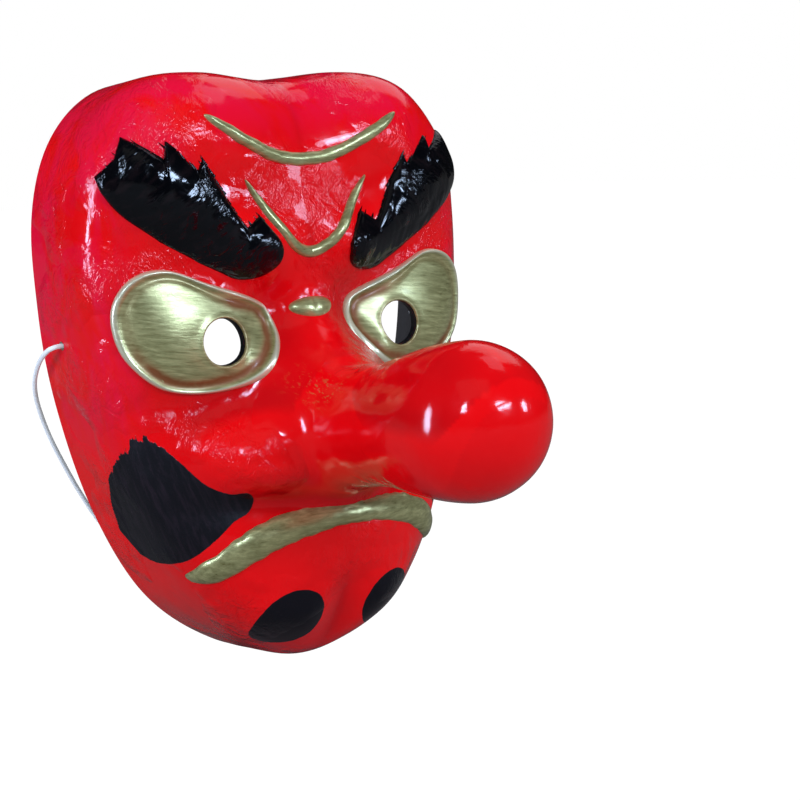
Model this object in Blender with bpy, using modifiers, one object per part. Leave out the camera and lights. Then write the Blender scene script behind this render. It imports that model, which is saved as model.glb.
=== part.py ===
"""Long-nosed goblin face mask in moulded paper, with a hollow nose, raised brows and eyes, and a head cord.

Metres, +Z up. The face looks along -Y, its back rim lies in the plane y = 0, and it is symmetric about x = 0.
The face is one smooth surface: an outline for the rim, a rounded shoulder all the way round, and a front whose
depth is a plain level with soft rises and hollows on it. Every raised piece is a patch of that same surface.
"""

import math

import bmesh
import bpy
import numpy as np
from mathutils import Matrix, Vector
from mathutils.bvhtree import BVHTree

MM = 0.001

# Overall sizes of the moulded face
FACE_WIDTH = 166 * MM
FACE_HEIGHT = 226 * MM
FACE_DEPTH = 47 * MM
WALL = 2.2 * MM
FIT_GAP = 0.35 * MM

# The rim's right half from the crown to the chin, as shares of the half width and of the height
RIM_OUTLINE = [
    (0.0, 0.514), (0.36, 0.518), (0.675, 0.498), (0.89, 0.425), (0.995, 0.31), (1.0, 0.16),
    (0.94, 0.0), (0.80, -0.177), (0.585, -0.328), (0.30, -0.424), (0.0, -0.469),
]  # fmt: skip
SHOULDER = 7.0
DRAFT_SIDE = 0.035
DRAFT_TILT = 0.03
CROWN_SWELL = 0.038
CROWN_SWELL_ASIDE = 0.32
CROWN_SWELL_WIDTH = 0.14

# Rises and hollows of the front: (x, z, half width, half height, height, sharpness), x and z on the right side
FRONTAL_RISE = (39 * MM, 99 * MM, 21 * MM, 14 * MM, 8 * MM, 2)
FOREHEAD_RISE = (0, 82 * MM, 38 * MM, 20 * MM, 4 * MM, 2)
GLABELLA_RISE = (0, 57 * MM, 13 * MM, 13 * MM, 4 * MM, 2)
EYEBALL_RISE = (46 * MM, 26 * MM, 19 * MM, 15 * MM, 4.5 * MM, 3)
EYE_CORNER_HOLLOW = (17 * MM, 27 * MM, 8 * MM, 11 * MM, -4.5 * MM, 2)
UNDER_EYE_HOLLOW = (52 * MM, 2 * MM, 20 * MM, 8 * MM, -4 * MM, 2)
BRIDGE_RISE = (0, 8 * MM, 12 * MM, 18 * MM, 7 * MM, 2)
MUZZLE_RISE = (0, -50 * MM, 46 * MM, 37 * MM, 26 * MM, 2)
NOSTRIL_RISE = (27 * MM, -14 * MM, 18 * MM, 12 * MM, 11 * MM, 4)
LIP_HOLLOW = (0, -34 * MM, 34 * MM, 5 * MM, -6 * MM, 2)
CHIN_RISE = (21 * MM, -79 * MM, 12 * MM, 11 * MM, 5 * MM, 2)
CHIN_CLEFT = (0, -80 * MM, 7 * MM, 14 * MM, -4 * MM, 2)
RISES = (
    FRONTAL_RISE, FOREHEAD_RISE, GLABELLA_RISE, EYEBALL_RISE, EYE_CORNER_HOLLOW, UNDER_EYE_HOLLOW,
    BRIDGE_RISE, MUZZLE_RISE, NOSTRIL_RISE, LIP_HOLLOW, CHIN_RISE, CHIN_CLEFT,
)  # fmt: skip
BROW_RIDGE_INNER = (20 * MM, 56 * MM)
BROW_RIDGE_OUTER = (74 * MM, 86 * MM)
BROW_RIDGE_WIDTH = 8.5 * MM
BROW_RIDGE_INNER_HEIGHT = 8 * MM
BROW_RIDGE_OUTER_HEIGHT = 2.5 * MM

# Nose
NOSE_LENGTH = 91 * MM
NOSE_ROOT_DIAMETER = 44 * MM
NOSE_WAIST_DIAMETER = 42.4 * MM
NOSE_WAIST_SHARE = 0.2
NOSE_BULB_DIAMETER = 53 * MM
NOSE_ROOT_HEIGHT = -8 * MM
NOSE_ROOT_DEPTH = 78 * MM
NOSE_ROOT_FLARE = 8 * MM
NOSE_RISE_DEGREES = 8.0
NOSE_SEAM_GAP = 0.3 * MM
NOSE_BAND_LENGTH = 16 * MM
NOSE_BAND_WALL = 1.2 * MM

# Eyes
EYE_SPACING = 77 * MM
EYE_HEIGHT = 24.1 * MM
EYE_HOLE_DIAMETER = 16.4 * MM
EYE_THICKNESS = 2.2 * MM
EYE_OUTLINE = [
    (0.185, 0.105), (0.20, 0.145), (0.27, 0.168), (0.50, 0.198), (0.68, 0.223), (0.815, 0.216), (0.895, 0.185),
    (0.912, 0.14), (0.868, 0.087), (0.74, 0.043), (0.56, 0.028), (0.38, 0.036), (0.26, 0.062),
]  # fmt: skip

# Brows: matching points of the lower and the upper edge, from the nose outwards
BROW_THICKNESS = 2.4 * MM
BROW_LOWER = [
    (0.185, 0.235), (0.195, 0.218), (0.235, 0.205), (0.30, 0.199), (0.37, 0.201), (0.44, 0.213), (0.53, 0.229),
    (0.57, 0.238), (0.69, 0.262), (0.72, 0.270), (0.83, 0.300), (0.885, 0.322), (0.915, 0.343),
]  # fmt: skip
BROW_UPPER = [
    (0.18, 0.245), (0.20, 0.263), (0.265, 0.298), (0.345, 0.279), (0.385, 0.305), (0.45, 0.348), (0.52, 0.388),
    (0.545, 0.370), (0.67, 0.416), (0.685, 0.388), (0.82, 0.425), (0.86, 0.392), (0.925, 0.366),
]  # fmt: skip

# Gold lines: the spine's right half from the middle outwards, and its half width at each point
LINE_THICKNESS = 1.3 * MM
FOREHEAD_LINE = [(0.0, 0.383), (0.14, 0.389), (0.30, 0.413), (0.42, 0.437), (0.495, 0.454)]
FOREHEAD_LINE_HALF = [2.4 * MM, 2.4 * MM, 2.3 * MM, 2.0 * MM, 0.8 * MM]
V_LINE = [(0.0, 0.236), (0.085, 0.247), (0.16, 0.275), (0.235, 0.313), (0.315, 0.355)]
V_LINE_HALF = [2.2 * MM, 2.1 * MM, 1.9 * MM, 1.8 * MM, 0.7 * MM]
MOUTH_THICKNESS = 1.8 * MM
MOUTH_LINE = [(0.0, -0.179), (0.14, -0.181), (0.30, -0.190), (0.47, -0.217), (0.595, -0.258)]
MOUTH_LINE_HALF = [3.6 * MM, 4.2 * MM, 5.0 * MM, 5.2 * MM, 2.6 * MM]
BEAD_WIDTH = 19 * MM
BEAD_HEIGHT = 6.5 * MM
BEAD_THICKNESS = 2.4 * MM
BEAD_CENTRE_HEIGHT = 33.5 * MM

# Head cord: the left half of its route, from its hole to the lowest point of the loop
CORD_DIAMETER = 1.8 * MM
CORD_HOLE_DIAMETER = 3.2 * MM
CORD_HOLE_SETBACK = 15 * MM
CORD_HOLE_HEIGHT = 24 * MM
CORD_SPACING = 4.4 * MM
KNOT_DIAMETER = 5.6 * MM
KNOT_TAIL_LENGTH = 7 * MM
CORD_ROUTE = [
    (-0.0792, -0.0150, 0.0240), (-0.0818, -0.0150, 0.0240), (-0.0842, -0.0145, 0.0236),
    (-0.0857, -0.0120, 0.0222), (-0.0862, -0.0075, 0.0190), (-0.0856, -0.0018, 0.0142),
    (-0.0842, 0.0035, 0.0090), (-0.0820, 0.0078, 0.0028), (-0.0790, 0.0105, -0.0050),
    (-0.0752, 0.0122, -0.0140), (-0.0705, 0.0128, -0.0240), (-0.0648, 0.0128, -0.0355),
    (-0.0575, 0.0126, -0.0480), (-0.0475, 0.0124, -0.0605), (-0.0345, 0.0122, -0.0715),
    (-0.0185, 0.0121, -0.0790), (0.0, 0.0120, -0.0815),
]  # fmt: skip

# Finishes: colour, roughness, metallic
RED_LACQUER = ((0.64, 0.004, 0.010, 1), 0.18, 0.0)
BLACK_GLOSS = ((0.004, 0.004, 0.006, 1), 0.2, 0.0)
GOLD_PAINT = ((0.47, 0.42, 0.20, 1), 0.34, 0.75)
PASTED_PAPER = ((0.52, 0.45, 0.34, 1), 0.85, 0.0)
WHITE_ELASTIC = ((0.84, 0.86, 0.87, 1), 0.7, 0.0)

NOSE_SEGMENTS = 36
COLUMNS = 64
RINGS = 28
RING_CROWDING = 1.35
SEAT_REACH = 12 * MM
OUTLINE_STEPS = 24
BACK_ALLOWANCE = 0.16


def clear_scene():
    for obj in list(bpy.data.objects):
        bpy.data.objects.remove(obj, do_unlink=True)


def new_collection(name):
    collection = bpy.data.collections.new(name)
    bpy.context.scene.collection.children.link(collection)
    return collection


def finish(name, look):
    """A Principled material from a colour, a roughness and a metallic value."""
    colour, roughness, metallic = look
    material = bpy.data.materials.new(name)
    material.use_nodes = True
    shader = material.node_tree.nodes["Principled BSDF"]
    shader.inputs["Base Color"].default_value = colour
    shader.inputs["Roughness"].default_value = roughness
    shader.inputs["Metallic"].default_value = metallic
    material.diffuse_color = colour
    return material


# The face surface


def smooth_curve(points, steps):
    """A smooth curve through the points, with the end slopes that the last two points give."""
    knots = np.asarray(points, float)
    knots = np.vstack([2 * knots[0] - knots[1], knots, 2 * knots[-1] - knots[-2]])
    share = np.linspace(0, 1, steps, endpoint=False)[:, None]
    runs = []
    for before, start, end, after in zip(knots, knots[1:], knots[2:], knots[3:]):
        runs.append(
            0.5 * (2 * start + (end - before) * share
            + (2 * before - 5 * start + 4 * end - after) * share**2
            + (3 * start - before - 3 * end + after) * share**3)
        )  # fmt: skip
    return np.vstack([*runs, knots[-2:-1]])


def on_face(points):
    """Face shares as x and z in metres."""
    return np.asarray(points, float) * (FACE_WIDTH / 2, FACE_HEIGHT)


def mirrored_curve(points, steps):
    """The whole of a symmetric curve, left to right, from the points of its right half."""
    right = np.asarray(points, float)
    flip = np.ones(right.shape[1])
    flip[0] = -1
    return smooth_curve(np.vstack([right[:0:-1] * flip, right]), steps)


def rim_table():
    """The rim's radius about the nose root against its angle, for the right half."""
    crown_to_chin = on_face(RIM_OUTLINE)
    left = crown_to_chin * (-1, 1)
    whole = smooth_curve(np.vstack([left[1], crown_to_chin, left[-2]]), OUTLINE_STEPS)
    half = whole[OUTLINE_STEPS:-OUTLINE_STEPS]
    half = np.vstack([half, crown_to_chin[-1:]])
    rise = half[:, 1] - NOSE_ROOT_HEIGHT
    return np.arctan2(rise, half[:, 0])[::-1], np.hypot(half[:, 0], rise)[::-1]


RIM_ANGLES, RIM_RADII = rim_table()


def rim_radius(angle):
    return np.interp(np.arcsin(np.sin(angle)), RIM_ANGLES, RIM_RADII)


def draft(angle):
    """How much the wall closes in from the rim to the front. It swells out over the two bosses of the crown."""
    aside = (np.abs(np.cos(angle)) - CROWN_SWELL_ASIDE) / CROWN_SWELL_WIDTH
    boss = np.where(np.sin(angle) > 0, np.exp(-0.5 * aside**2), 0)
    return DRAFT_SIDE - DRAFT_TILT * np.sin(angle) - CROWN_SWELL * boss


def soft_rise(x, z, rise):
    centre_x, centre_z, half_width, half_height, height, sharpness = rise
    away = np.hypot((np.abs(x) - centre_x) / half_width, (z - centre_z) / half_height)
    return height * np.exp(-0.5 * away**sharpness)


def brow_ridge(x, z):
    start = np.array(BROW_RIDGE_INNER)
    run = np.array(BROW_RIDGE_OUTER) - start
    across = np.abs(x) - start[0]
    up = z - start[1]
    along = np.clip((across * run[0] + up * run[1]) / run.dot(run), 0, 1)
    away = np.hypot(across - along * run[0], up - along * run[1])
    height = BROW_RIDGE_INNER_HEIGHT + (BROW_RIDGE_OUTER_HEIGHT - BROW_RIDGE_INNER_HEIGHT) * along
    return height * np.exp(-0.5 * (away / BROW_RIDGE_WIDTH) ** 2)


def front_depth(x, z):
    """How far the front stands before the rim plane, leaving out the shoulder."""
    depth = FACE_DEPTH + brow_ridge(x, z)
    for rise in RISES:
        depth = depth + soft_rise(x, z, rise)
    from_root = np.maximum(np.hypot(x, z - NOSE_ROOT_HEIGHT) - NOSE_ROOT_DIAMETER / 2, 0)
    return depth + (NOSE_ROOT_DEPTH - depth) * np.exp(-from_root / NOSE_ROOT_FLARE)


def shoulder_depth(reach, angle):
    """The share of the front's depth left at a reach from the nose root to the rim, both as shares."""
    left = np.ones_like(reach)
    for _ in range(60):
        out = np.clip(reach / (1 - draft(angle) * left), 0, 1)
        left = 0.5 * (left + (1 - out**SHOULDER) ** (1 / SHOULDER))
    return left


def face_y(x, z):
    x = np.asarray(x, float)
    z = np.asarray(z, float)
    angle = np.arctan2(z - NOSE_ROOT_HEIGHT, x)
    reach = np.hypot(x, z - NOSE_ROOT_HEIGHT) / rim_radius(angle)
    return -shoulder_depth(reach, angle) * front_depth(x, z)


def face_points(flat, lift, seat):
    """Points over x and z places, lifted clear of the face surface and of the facets of the shell that stands for it."""
    flat = np.asarray(flat, float)
    x, z = flat[..., 0], flat[..., 1]
    step = 0.2 * MM
    slope_x = (face_y(x + step, z) - face_y(x - step, z)) / (2 * step)
    slope_z = (face_y(x, z + step) - face_y(x, z - step)) / (2 * step)
    outward = np.stack([slope_x, -np.ones_like(slope_x), slope_z], axis=-1)
    outward /= np.linalg.norm(outward, axis=-1, keepdims=True)
    surface = np.stack([x, face_y(x, z), z], axis=-1)
    points = surface + lift * outward
    for place in np.ndindex(x.shape):
        away = Vector(outward[place])
        hit, *_ = seat.ray_cast(Vector(surface[place]) + away * SEAT_REACH, -away, 2 * SEAT_REACH)
        if hit is not None:
            proud = max(0.0, (hit - Vector(surface[place])).dot(away))
            points[place] = surface[place] + (lift + proud) * outward[place]
    return points


def side_wall_x(y, z):
    """Half the outside width of the side wall at a place near the rim."""
    x = FACE_WIDTH / 2
    for _ in range(40):
        angle = math.atan2(z - NOSE_ROOT_HEIGHT, x)
        left = -y / float(front_depth(x, z))
        out = (1 - left**SHOULDER) ** (1 / SHOULDER) * (1 - draft(angle) * left)
        x = math.sqrt((float(rim_radius(angle)) * out) ** 2 - (z - NOSE_ROOT_HEIGHT) ** 2)
    return x


# Meshes and modifiers


def split_square(corners, places):
    """Two triangles across the shorter diagonal, so that left and right pieces are mirror images."""
    a, b, c, d = corners
    if np.linalg.norm(places[a] - places[c]) <= np.linalg.norm(places[b] - places[d]):
        return [(a, b, c), (a, c, d)]
    return [(b, c, d), (b, d, a)]


def grid_object(name, points, material, collection, close_columns=False):
    """An open sheet from rows of points. Its faces look towards -Y when rows go inwards to outwards clockwise."""
    rows, columns, _ = points.shape
    places = points.reshape(-1, 3)
    faces = []
    for row in range(rows - 1):
        for column in range(columns if close_columns else columns - 1):
            after = (column + 1) % columns
            here, there = row * columns, (row + 1) * columns
            corners = (here + column, here + after, there + after, there + column)
            faces += split_square(corners, places)
    mesh = bpy.data.meshes.new(name)
    mesh.from_pydata(places.tolist(), [], faces)
    mesh.update()
    toward_front = sum(face.normal.y * face.area for face in mesh.polygons) < 0
    if not toward_front:
        mesh.flip_normals()
    mesh.shade_smooth()
    obj = bpy.data.objects.new(name, mesh)
    obj.data.materials.append(material)
    collection.objects.link(obj)
    return obj


def thicken(obj, thickness, outward=False, crown=None):
    """A Solidify. crown holds one weight for each vertex and scales the thickness there."""
    solid = obj.modifiers.new("thickness", "SOLIDIFY")
    solid.thickness = thickness
    solid.offset = 1.0 if outward else -1.0
    solid.use_even_offset = crown is None
    if crown is not None:
        group = obj.vertex_groups.new(name="crown")
        for index, weight in enumerate(np.ravel(crown)):
            group.add([index], float(weight), "REPLACE")
        solid.vertex_group = group.name
        solid.thickness_vertex_group = 0.0
    return solid


def cut(obj, cutter):
    boolean = obj.modifiers.new("cut " + cutter.name, "BOOLEAN")
    boolean.operation = "DIFFERENCE"
    boolean.object = cutter
    boolean.solver = "EXACT"


def as_cutter(obj, cutters):
    for collection in list(obj.users_collection):
        collection.objects.unlink(obj)
    cutters.objects.link(obj)
    obj.hide_render = True
    obj.display_type = "WIRE"
    return obj


def box_cutter(name, low, high, cutters, frame=None):
    """A box between two corners, in the world or in a frame of its own."""
    mesh = bpy.data.meshes.new(name)
    shape = bmesh.new()
    bmesh.ops.create_cube(shape, size=1.0)
    size = Vector(high) - Vector(low)
    centre = (Vector(high) + Vector(low)) / 2
    bmesh.ops.scale(shape, vec=size, verts=shape.verts)
    bmesh.ops.translate(shape, vec=centre, verts=shape.verts)
    shape.to_mesh(mesh)
    shape.free()
    obj = bpy.data.objects.new(name, mesh)
    obj.matrix_world = frame or Matrix.Identity(4)
    bpy.context.scene.collection.objects.link(obj)
    return as_cutter(obj, cutters)


def rod_cutter(name, diameter, length, matrix, cutters):
    """A round rod centred on its own origin, along its own Z."""
    mesh = bpy.data.meshes.new(name)
    shape = bmesh.new()
    bmesh.ops.create_cone(
        shape, cap_ends=True, segments=24, radius1=diameter / 2, radius2=diameter / 2, depth=length
    )
    shape.to_mesh(mesh)
    shape.free()
    obj = bpy.data.objects.new(name, mesh)
    obj.matrix_world = matrix
    bpy.context.scene.collection.objects.link(obj)
    return as_cutter(obj, cutters)


# The moulded face


def shell_rows():
    """Rings of points from the nose root out to the rim, and one ring behind it that the rim cut removes."""
    angles = np.linspace(0, 2 * math.pi, COLUMNS, endpoint=False)
    root = NOSE_ROOT_DIAMETER / 2 / (rim_radius(angles) * (1 - draft(angles)))
    turn_in = np.arctan2((1 - root**SHOULDER) ** (1 / SHOULDER), root)
    rows = []
    for share in 1 - np.linspace(0, 1, RINGS) ** RING_CROWDING:
        turn = turn_in * share
        norm = (np.cos(turn) ** SHOULDER + np.sin(turn) ** SHOULDER) ** (1 / SHOULDER)
        out, left = np.cos(turn) / norm, np.sin(turn) / norm
        radius = out * rim_radius(angles) * (1 - draft(angles) * left)
        if share == 1:
            radius = np.full_like(angles, NOSE_ROOT_DIAMETER / 2)
        x, z = radius * np.cos(angles), NOSE_ROOT_HEIGHT + radius * np.sin(angles)
        rows.append(np.stack([x, -left * front_depth(x, z), z], axis=-1))
    behind = rim_radius(angles) * (1 + draft(angles) * BACK_ALLOWANCE)
    x, z = behind * np.cos(angles), NOSE_ROOT_HEIGHT + behind * np.sin(angles)
    rows.append(np.stack([x, np.full_like(x, BACK_ALLOWANCE * FACE_DEPTH), z], axis=-1))
    return np.array(rows)


def build_face_shell(material, parts, cutters):
    shell = grid_object("face_shell", shell_rows(), material, parts, close_columns=True)
    thicken(shell, WALL)
    reach = 2 * max(FACE_WIDTH, FACE_HEIGHT)
    back = 4 * BACK_ALLOWANCE * FACE_DEPTH
    cut(shell, box_cutter("rim_cutter", (-reach, 0, -reach), (reach, back, reach), cutters))
    for side, name in ((-1, "left"), (1, "right")):
        place = Matrix.Translation((side * EYE_SPACING / 2, -FACE_DEPTH, EYE_HEIGHT))
        turn = Matrix.Rotation(math.pi / 2, 4, "X")
        cut(shell, rod_cutter("eye_cutter_" + name, EYE_HOLE_DIAMETER, FACE_DEPTH, place @ turn, cutters))
        place = Matrix.Translation((side * FACE_WIDTH / 2, -CORD_HOLE_SETBACK, CORD_HOLE_HEIGHT))
        turn = Matrix.Rotation(math.pi / 2, 4, "Y")
        cut(shell, rod_cutter("cord_cutter_" + name, CORD_HOLE_DIAMETER, FACE_WIDTH / 4, place @ turn, cutters))
    return shell


# The nose: one turned shell, parted lengthwise


def nose_frame():
    """The nose's own frame: Z along its axis out of the face, X to the side, Y up."""
    rise = math.radians(NOSE_RISE_DEGREES)
    axis = Vector((0, -math.cos(rise), math.sin(rise)))
    up = Vector((0, math.sin(rise), math.cos(rise)))
    turn = Matrix((Vector((1, 0, 0)), up, axis)).transposed().to_4x4()
    return Matrix.Translation((0, -NOSE_ROOT_DEPTH, NOSE_ROOT_HEIGHT)) @ turn


def nose_radius(along):
    """The nose's radius between its root and the widest place of its bulb."""
    waist, bulb = NOSE_WAIST_DIAMETER / 2, NOSE_BULB_DIAMETER / 2
    root = NOSE_ROOT_DIAMETER / 2
    share = min(1, max(0, along / (NOSE_LENGTH - bulb)))
    taper = 0.5 - 0.5 * math.cos(math.pi * max(0, (share - NOSE_WAIST_SHARE) / (1 - NOSE_WAIST_SHARE)))
    narrow = waist + (root - waist) * max(0, 1 - share / NOSE_WAIST_SHARE)
    return narrow + (bulb - waist) * taper


def nose_profile():
    """Radius and distance along the axis, from the tip back to a little inside the root."""
    bulb = NOSE_BULB_DIAMETER / 2
    swell = NOSE_LENGTH - bulb
    points = []
    for turn in np.linspace(0, math.pi / 2, 10):
        points.append((bulb * math.sin(turn), swell + bulb * math.cos(turn)))
    for share in np.linspace(1, 0, 10)[1:]:
        points.append((nose_radius(swell * share), swell * share))
    points.append((NOSE_ROOT_DIAMETER / 2, -NOSE_ROOT_FLARE))
    return points


def turned_shell(name, profile, steps, frame, material, collection):
    mesh = bpy.data.meshes.new(name)
    edges = [(i, i + 1) for i in range(len(profile) - 1)]
    mesh.from_pydata([(radius, 0, along) for radius, along in profile], edges, [])
    obj = bpy.data.objects.new(name, mesh)
    obj.data.materials.append(material)
    obj.matrix_world = frame
    collection.objects.link(obj)
    screw = obj.modifiers.new("turn", "SCREW")
    screw.axis = "Z"
    screw.steps = steps
    screw.render_steps = steps
    screw.use_merge_vertices = True
    screw.merge_threshold = 0.00001
    screw.use_smooth_shade = True
    return obj


def build_nose(material, parts, cutters):
    frame = nose_frame()
    reach = NOSE_LENGTH + NOSE_BULB_DIAMETER
    seam = NOSE_SEAM_GAP / 2
    root = box_cutter("nose_root_cutter", (-reach, -NOSE_ROOT_DEPTH - FIT_GAP, -reach), (reach, reach, reach), cutters)
    for name, low, high in (
        ("nose_upper_half", -reach, seam),
        ("nose_lower_half", -seam, reach),
    ):
        half = turned_shell(name, nose_profile(), NOSE_SEGMENTS, frame, material, parts)
        thicken(half, WALL)
        other = box_cutter(name + "_cutter", (-reach, low, -reach), (reach, high, reach), cutters, frame)
        cut(half, other)
        cut(half, root)


def build_nose_band(material, parts):
    """The pasted band inside both the face and the nose."""
    half = NOSE_BAND_LENGTH / 2
    outer = [(nose_radius(along) - WALL - FIT_GAP, along) for along in (half, 0, -half)]
    inner = [(radius - NOSE_BAND_WALL, along) for radius, along in outer[::-1]]
    profile = [*outer, *inner, outer[0]]
    return turned_shell("nose_joint_band", profile, NOSE_SEGMENTS, nose_frame(), material, parts)


# Raised pieces on the face


def sheet_between(lower, upper, rows):
    """Rows of x and z places from one edge to another."""
    share = np.linspace(0, 1, rows)[:, None, None]
    return lower[None] * (1 - share) + upper[None] * share


def crown_across(rows, columns, edge):
    """Weights that round a sheet over from a thin edge to a full middle."""
    across = np.linspace(-1, 1, rows)[:, None]
    along = np.linspace(-1, 1, columns)[None]
    return edge + (1 - edge) * np.sqrt(np.clip(1 - across**2, 0, 1)) * np.clip(1 - along**8, 0, 1)


def raised_sheet(name, flat, thickness, crown, material, parts, seat, close_columns=False):
    obj = grid_object(name, face_points(flat, FIT_GAP, seat), material, parts, close_columns)
    thicken(obj, thickness, outward=True, crown=crown)
    return obj


def ribbon(name, spine, halves, thickness, material, parts, seat):
    """A raised line of changing width, symmetric about x = 0."""
    rows, steps = 5, 4
    middle = mirrored_curve(on_face(spine), steps)
    widths = np.array(halves)[:, None]
    widths = smooth_curve(np.vstack([widths[:0:-1], widths]), steps)[:, 0]
    run = np.gradient(middle, axis=0)
    run /= np.linalg.norm(run, axis=1, keepdims=True)
    across = np.stack([-run[:, 1], run[:, 0]], axis=-1) * widths[:, None]
    flat = sheet_between(middle - across, middle + across, rows)
    crown = crown_across(rows, len(middle), 0.25)
    return raised_sheet(name, flat, thickness, crown, material, parts, seat)


def build_brow(side, name, material, parts, seat):
    steps = 4
    lower = smooth_curve(on_face(BROW_LOWER), steps)
    corners = on_face(BROW_UPPER)
    stations = np.linspace(0, len(corners) - 1, len(lower))
    upper = np.stack([np.interp(stations, range(len(corners)), corners[:, i]) for i in (0, 1)], axis=-1)
    rows = 9
    flat = sheet_between(lower, upper, rows) * (side, 1)
    crown = crown_across(rows, len(lower), 0.2)
    return raised_sheet("brow_" + name, flat, BROW_THICKNESS, crown, material, parts, seat)


def build_eye(side, name, material, parts, seat):
    """A bulging gold eye with a raised lip round it and a hole to see through."""
    outline = on_face(EYE_OUTLINE + EYE_OUTLINE[:1])
    loop = smooth_curve(outline, 4)[:-1]
    centre = np.array([EYE_SPACING / 2, EYE_HEIGHT])
    toward = loop - centre
    hole = centre + toward / np.linalg.norm(toward, axis=1, keepdims=True) * EYE_HOLE_DIAMETER / 2
    shares = [0.0, 0.3, 0.6, 0.78, 0.9, 1.0]
    weights = [0.55, 0.6, 0.55, 0.4, 1.0, 0.3]
    flat = np.array([hole * (1 - share) + loop * share for share in shares]) * (side, 1)
    crown = np.array([[weight] * len(loop) for weight in weights])
    return raised_sheet("eye_" + name, flat, EYE_THICKNESS, crown, material, parts, seat, close_columns=True)


def build_bead(material, parts, seat):
    rows, columns = 7, 17
    run = np.linspace(-1, 1, columns)
    reach = BEAD_HEIGHT / 2 * np.sqrt(1.02 - run**2)
    lower = np.stack([run * BEAD_WIDTH / 2, BEAD_CENTRE_HEIGHT - reach], axis=-1)
    upper = np.stack([run * BEAD_WIDTH / 2, BEAD_CENTRE_HEIGHT + reach], axis=-1)
    flat = sheet_between(lower, upper, rows)
    crown = crown_across(rows, columns, 0.2)
    return raised_sheet("bridge_bead", flat, BEAD_THICKNESS, crown, material, parts, seat)


# The head cord


def cord_points():
    """The whole loop, left hole to right hole, with a point every few diameters."""
    left = np.array(CORD_ROUTE)
    whole = np.vstack([left, left[-2::-1] * (-1, 1, 1)])
    curve = smooth_curve(whole, 20)
    run = np.concatenate([[0], np.cumsum(np.linalg.norm(np.diff(curve, axis=0), axis=1))])
    stops = np.linspace(0, run[-1], round(run[-1] / CORD_SPACING) + 1)
    return np.stack([np.interp(stops, run, curve[:, i]) for i in range(3)], axis=-1)


def build_cord(material, parts, hinge):
    curve = bpy.data.curves.new("cord_loop", "CURVE")
    curve.dimensions = "3D"
    curve.bevel_depth = CORD_DIAMETER / 2
    curve.bevel_resolution = 2
    curve.use_fill_caps = True
    points = cord_points() - np.array(hinge.location)
    spline = curve.splines.new("POLY")
    spline.points.add(len(points) - 1)
    for point, place in zip(spline.points, points):
        point.co = (*place, 1)
    curve.materials.append(material)
    cord = bpy.data.objects.new("cord_loop", curve)
    cord.parent = hinge
    parts.objects.link(cord)
    return cord


def build_knot(side, name, material, parts, cutters, hinge):
    """A stopper knot inside the wall, with its cut end hanging from it."""
    wall = side_wall_x(-CORD_HOLE_SETBACK, CORD_HOLE_HEIGHT)
    x = side * (wall - WALL - FIT_GAP - KNOT_DIAMETER / 2)
    mesh = bpy.data.meshes.new("cord_knot_" + name)
    shape = bmesh.new()
    bmesh.ops.create_uvsphere(shape, u_segments=12, v_segments=8, radius=KNOT_DIAMETER / 2)
    shape.to_mesh(mesh)
    shape.free()
    mesh.materials.append(material)
    mesh.shade_smooth()
    knot = bpy.data.objects.new("cord_knot_" + name, mesh)
    knot.parent = hinge
    knot.location = (x, 0, 0)
    parts.objects.link(knot)
    place = Matrix.Translation(Vector(hinge.location) + Vector((x, 0, -KNOT_TAIL_LENGTH / 2)))
    tail = rod_cutter("cord_tail_" + name, CORD_DIAMETER, KNOT_TAIL_LENGTH, place, cutters)
    union = knot.modifiers.new("cut end", "BOOLEAN")
    union.operation = "UNION"
    union.object = tail
    union.solver = "EXACT"
    return knot


def build_head_cord(material, parts, cutters):
    hinge = bpy.data.objects.new("head_cord_axis", None)
    hinge.location = (0, -CORD_HOLE_SETBACK, CORD_HOLE_HEIGHT)
    parts.objects.link(hinge)
    build_cord(material, parts, hinge)
    for side, name in ((-1, "left"), (1, "right")):
        build_knot(side, name, material, parts, cutters, hinge)


def main():
    clear_scene()
    parts = new_collection("goblin_face_mask")
    cutters = new_collection("cutters")
    red = finish("red_lacquer", RED_LACQUER)
    black = finish("black_gloss", BLACK_GLOSS)
    gold = finish("gold_paint", GOLD_PAINT)
    paper = finish("pasted_paper", PASTED_PAPER)
    elastic = finish("white_elastic", WHITE_ELASTIC)

    shell = build_face_shell(red, parts, cutters)
    seat = BVHTree.FromPolygons([v.co for v in shell.data.vertices], [f.vertices for f in shell.data.polygons])
    build_nose(red, parts, cutters)
    build_nose_band(paper, parts)
    for side, name in ((-1, "left"), (1, "right")):
        build_brow(side, name, black, parts, seat)
        build_eye(side, name, gold, parts, seat)
    ribbon("forehead_line_upper", FOREHEAD_LINE, FOREHEAD_LINE_HALF, LINE_THICKNESS, gold, parts, seat)
    ribbon("forehead_line_lower", V_LINE, V_LINE_HALF, LINE_THICKNESS, gold, parts, seat)
    ribbon("mouth_line", MOUTH_LINE, MOUTH_LINE_HALF, MOUTH_THICKNESS, gold, parts, seat)
    build_bead(gold, parts, seat)
    build_head_cord(elastic, parts, cutters)


main()
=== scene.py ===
"""Looks of a long-nosed goblin face mask.

Lacquered paper, raised brows, gilt eyes and lines, and a head cord. Metres, +Z up. The face looks along -Y
and its back rim lies in the plane y = 0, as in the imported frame.
"""

from __future__ import annotations

import logging
import math
from dataclasses import dataclass, field
from enum import Enum
from typing import Iterable, Sequence, Union

import bmesh
import bpy
import numpy as np
from mathutils import Matrix, Vector, noise

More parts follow.
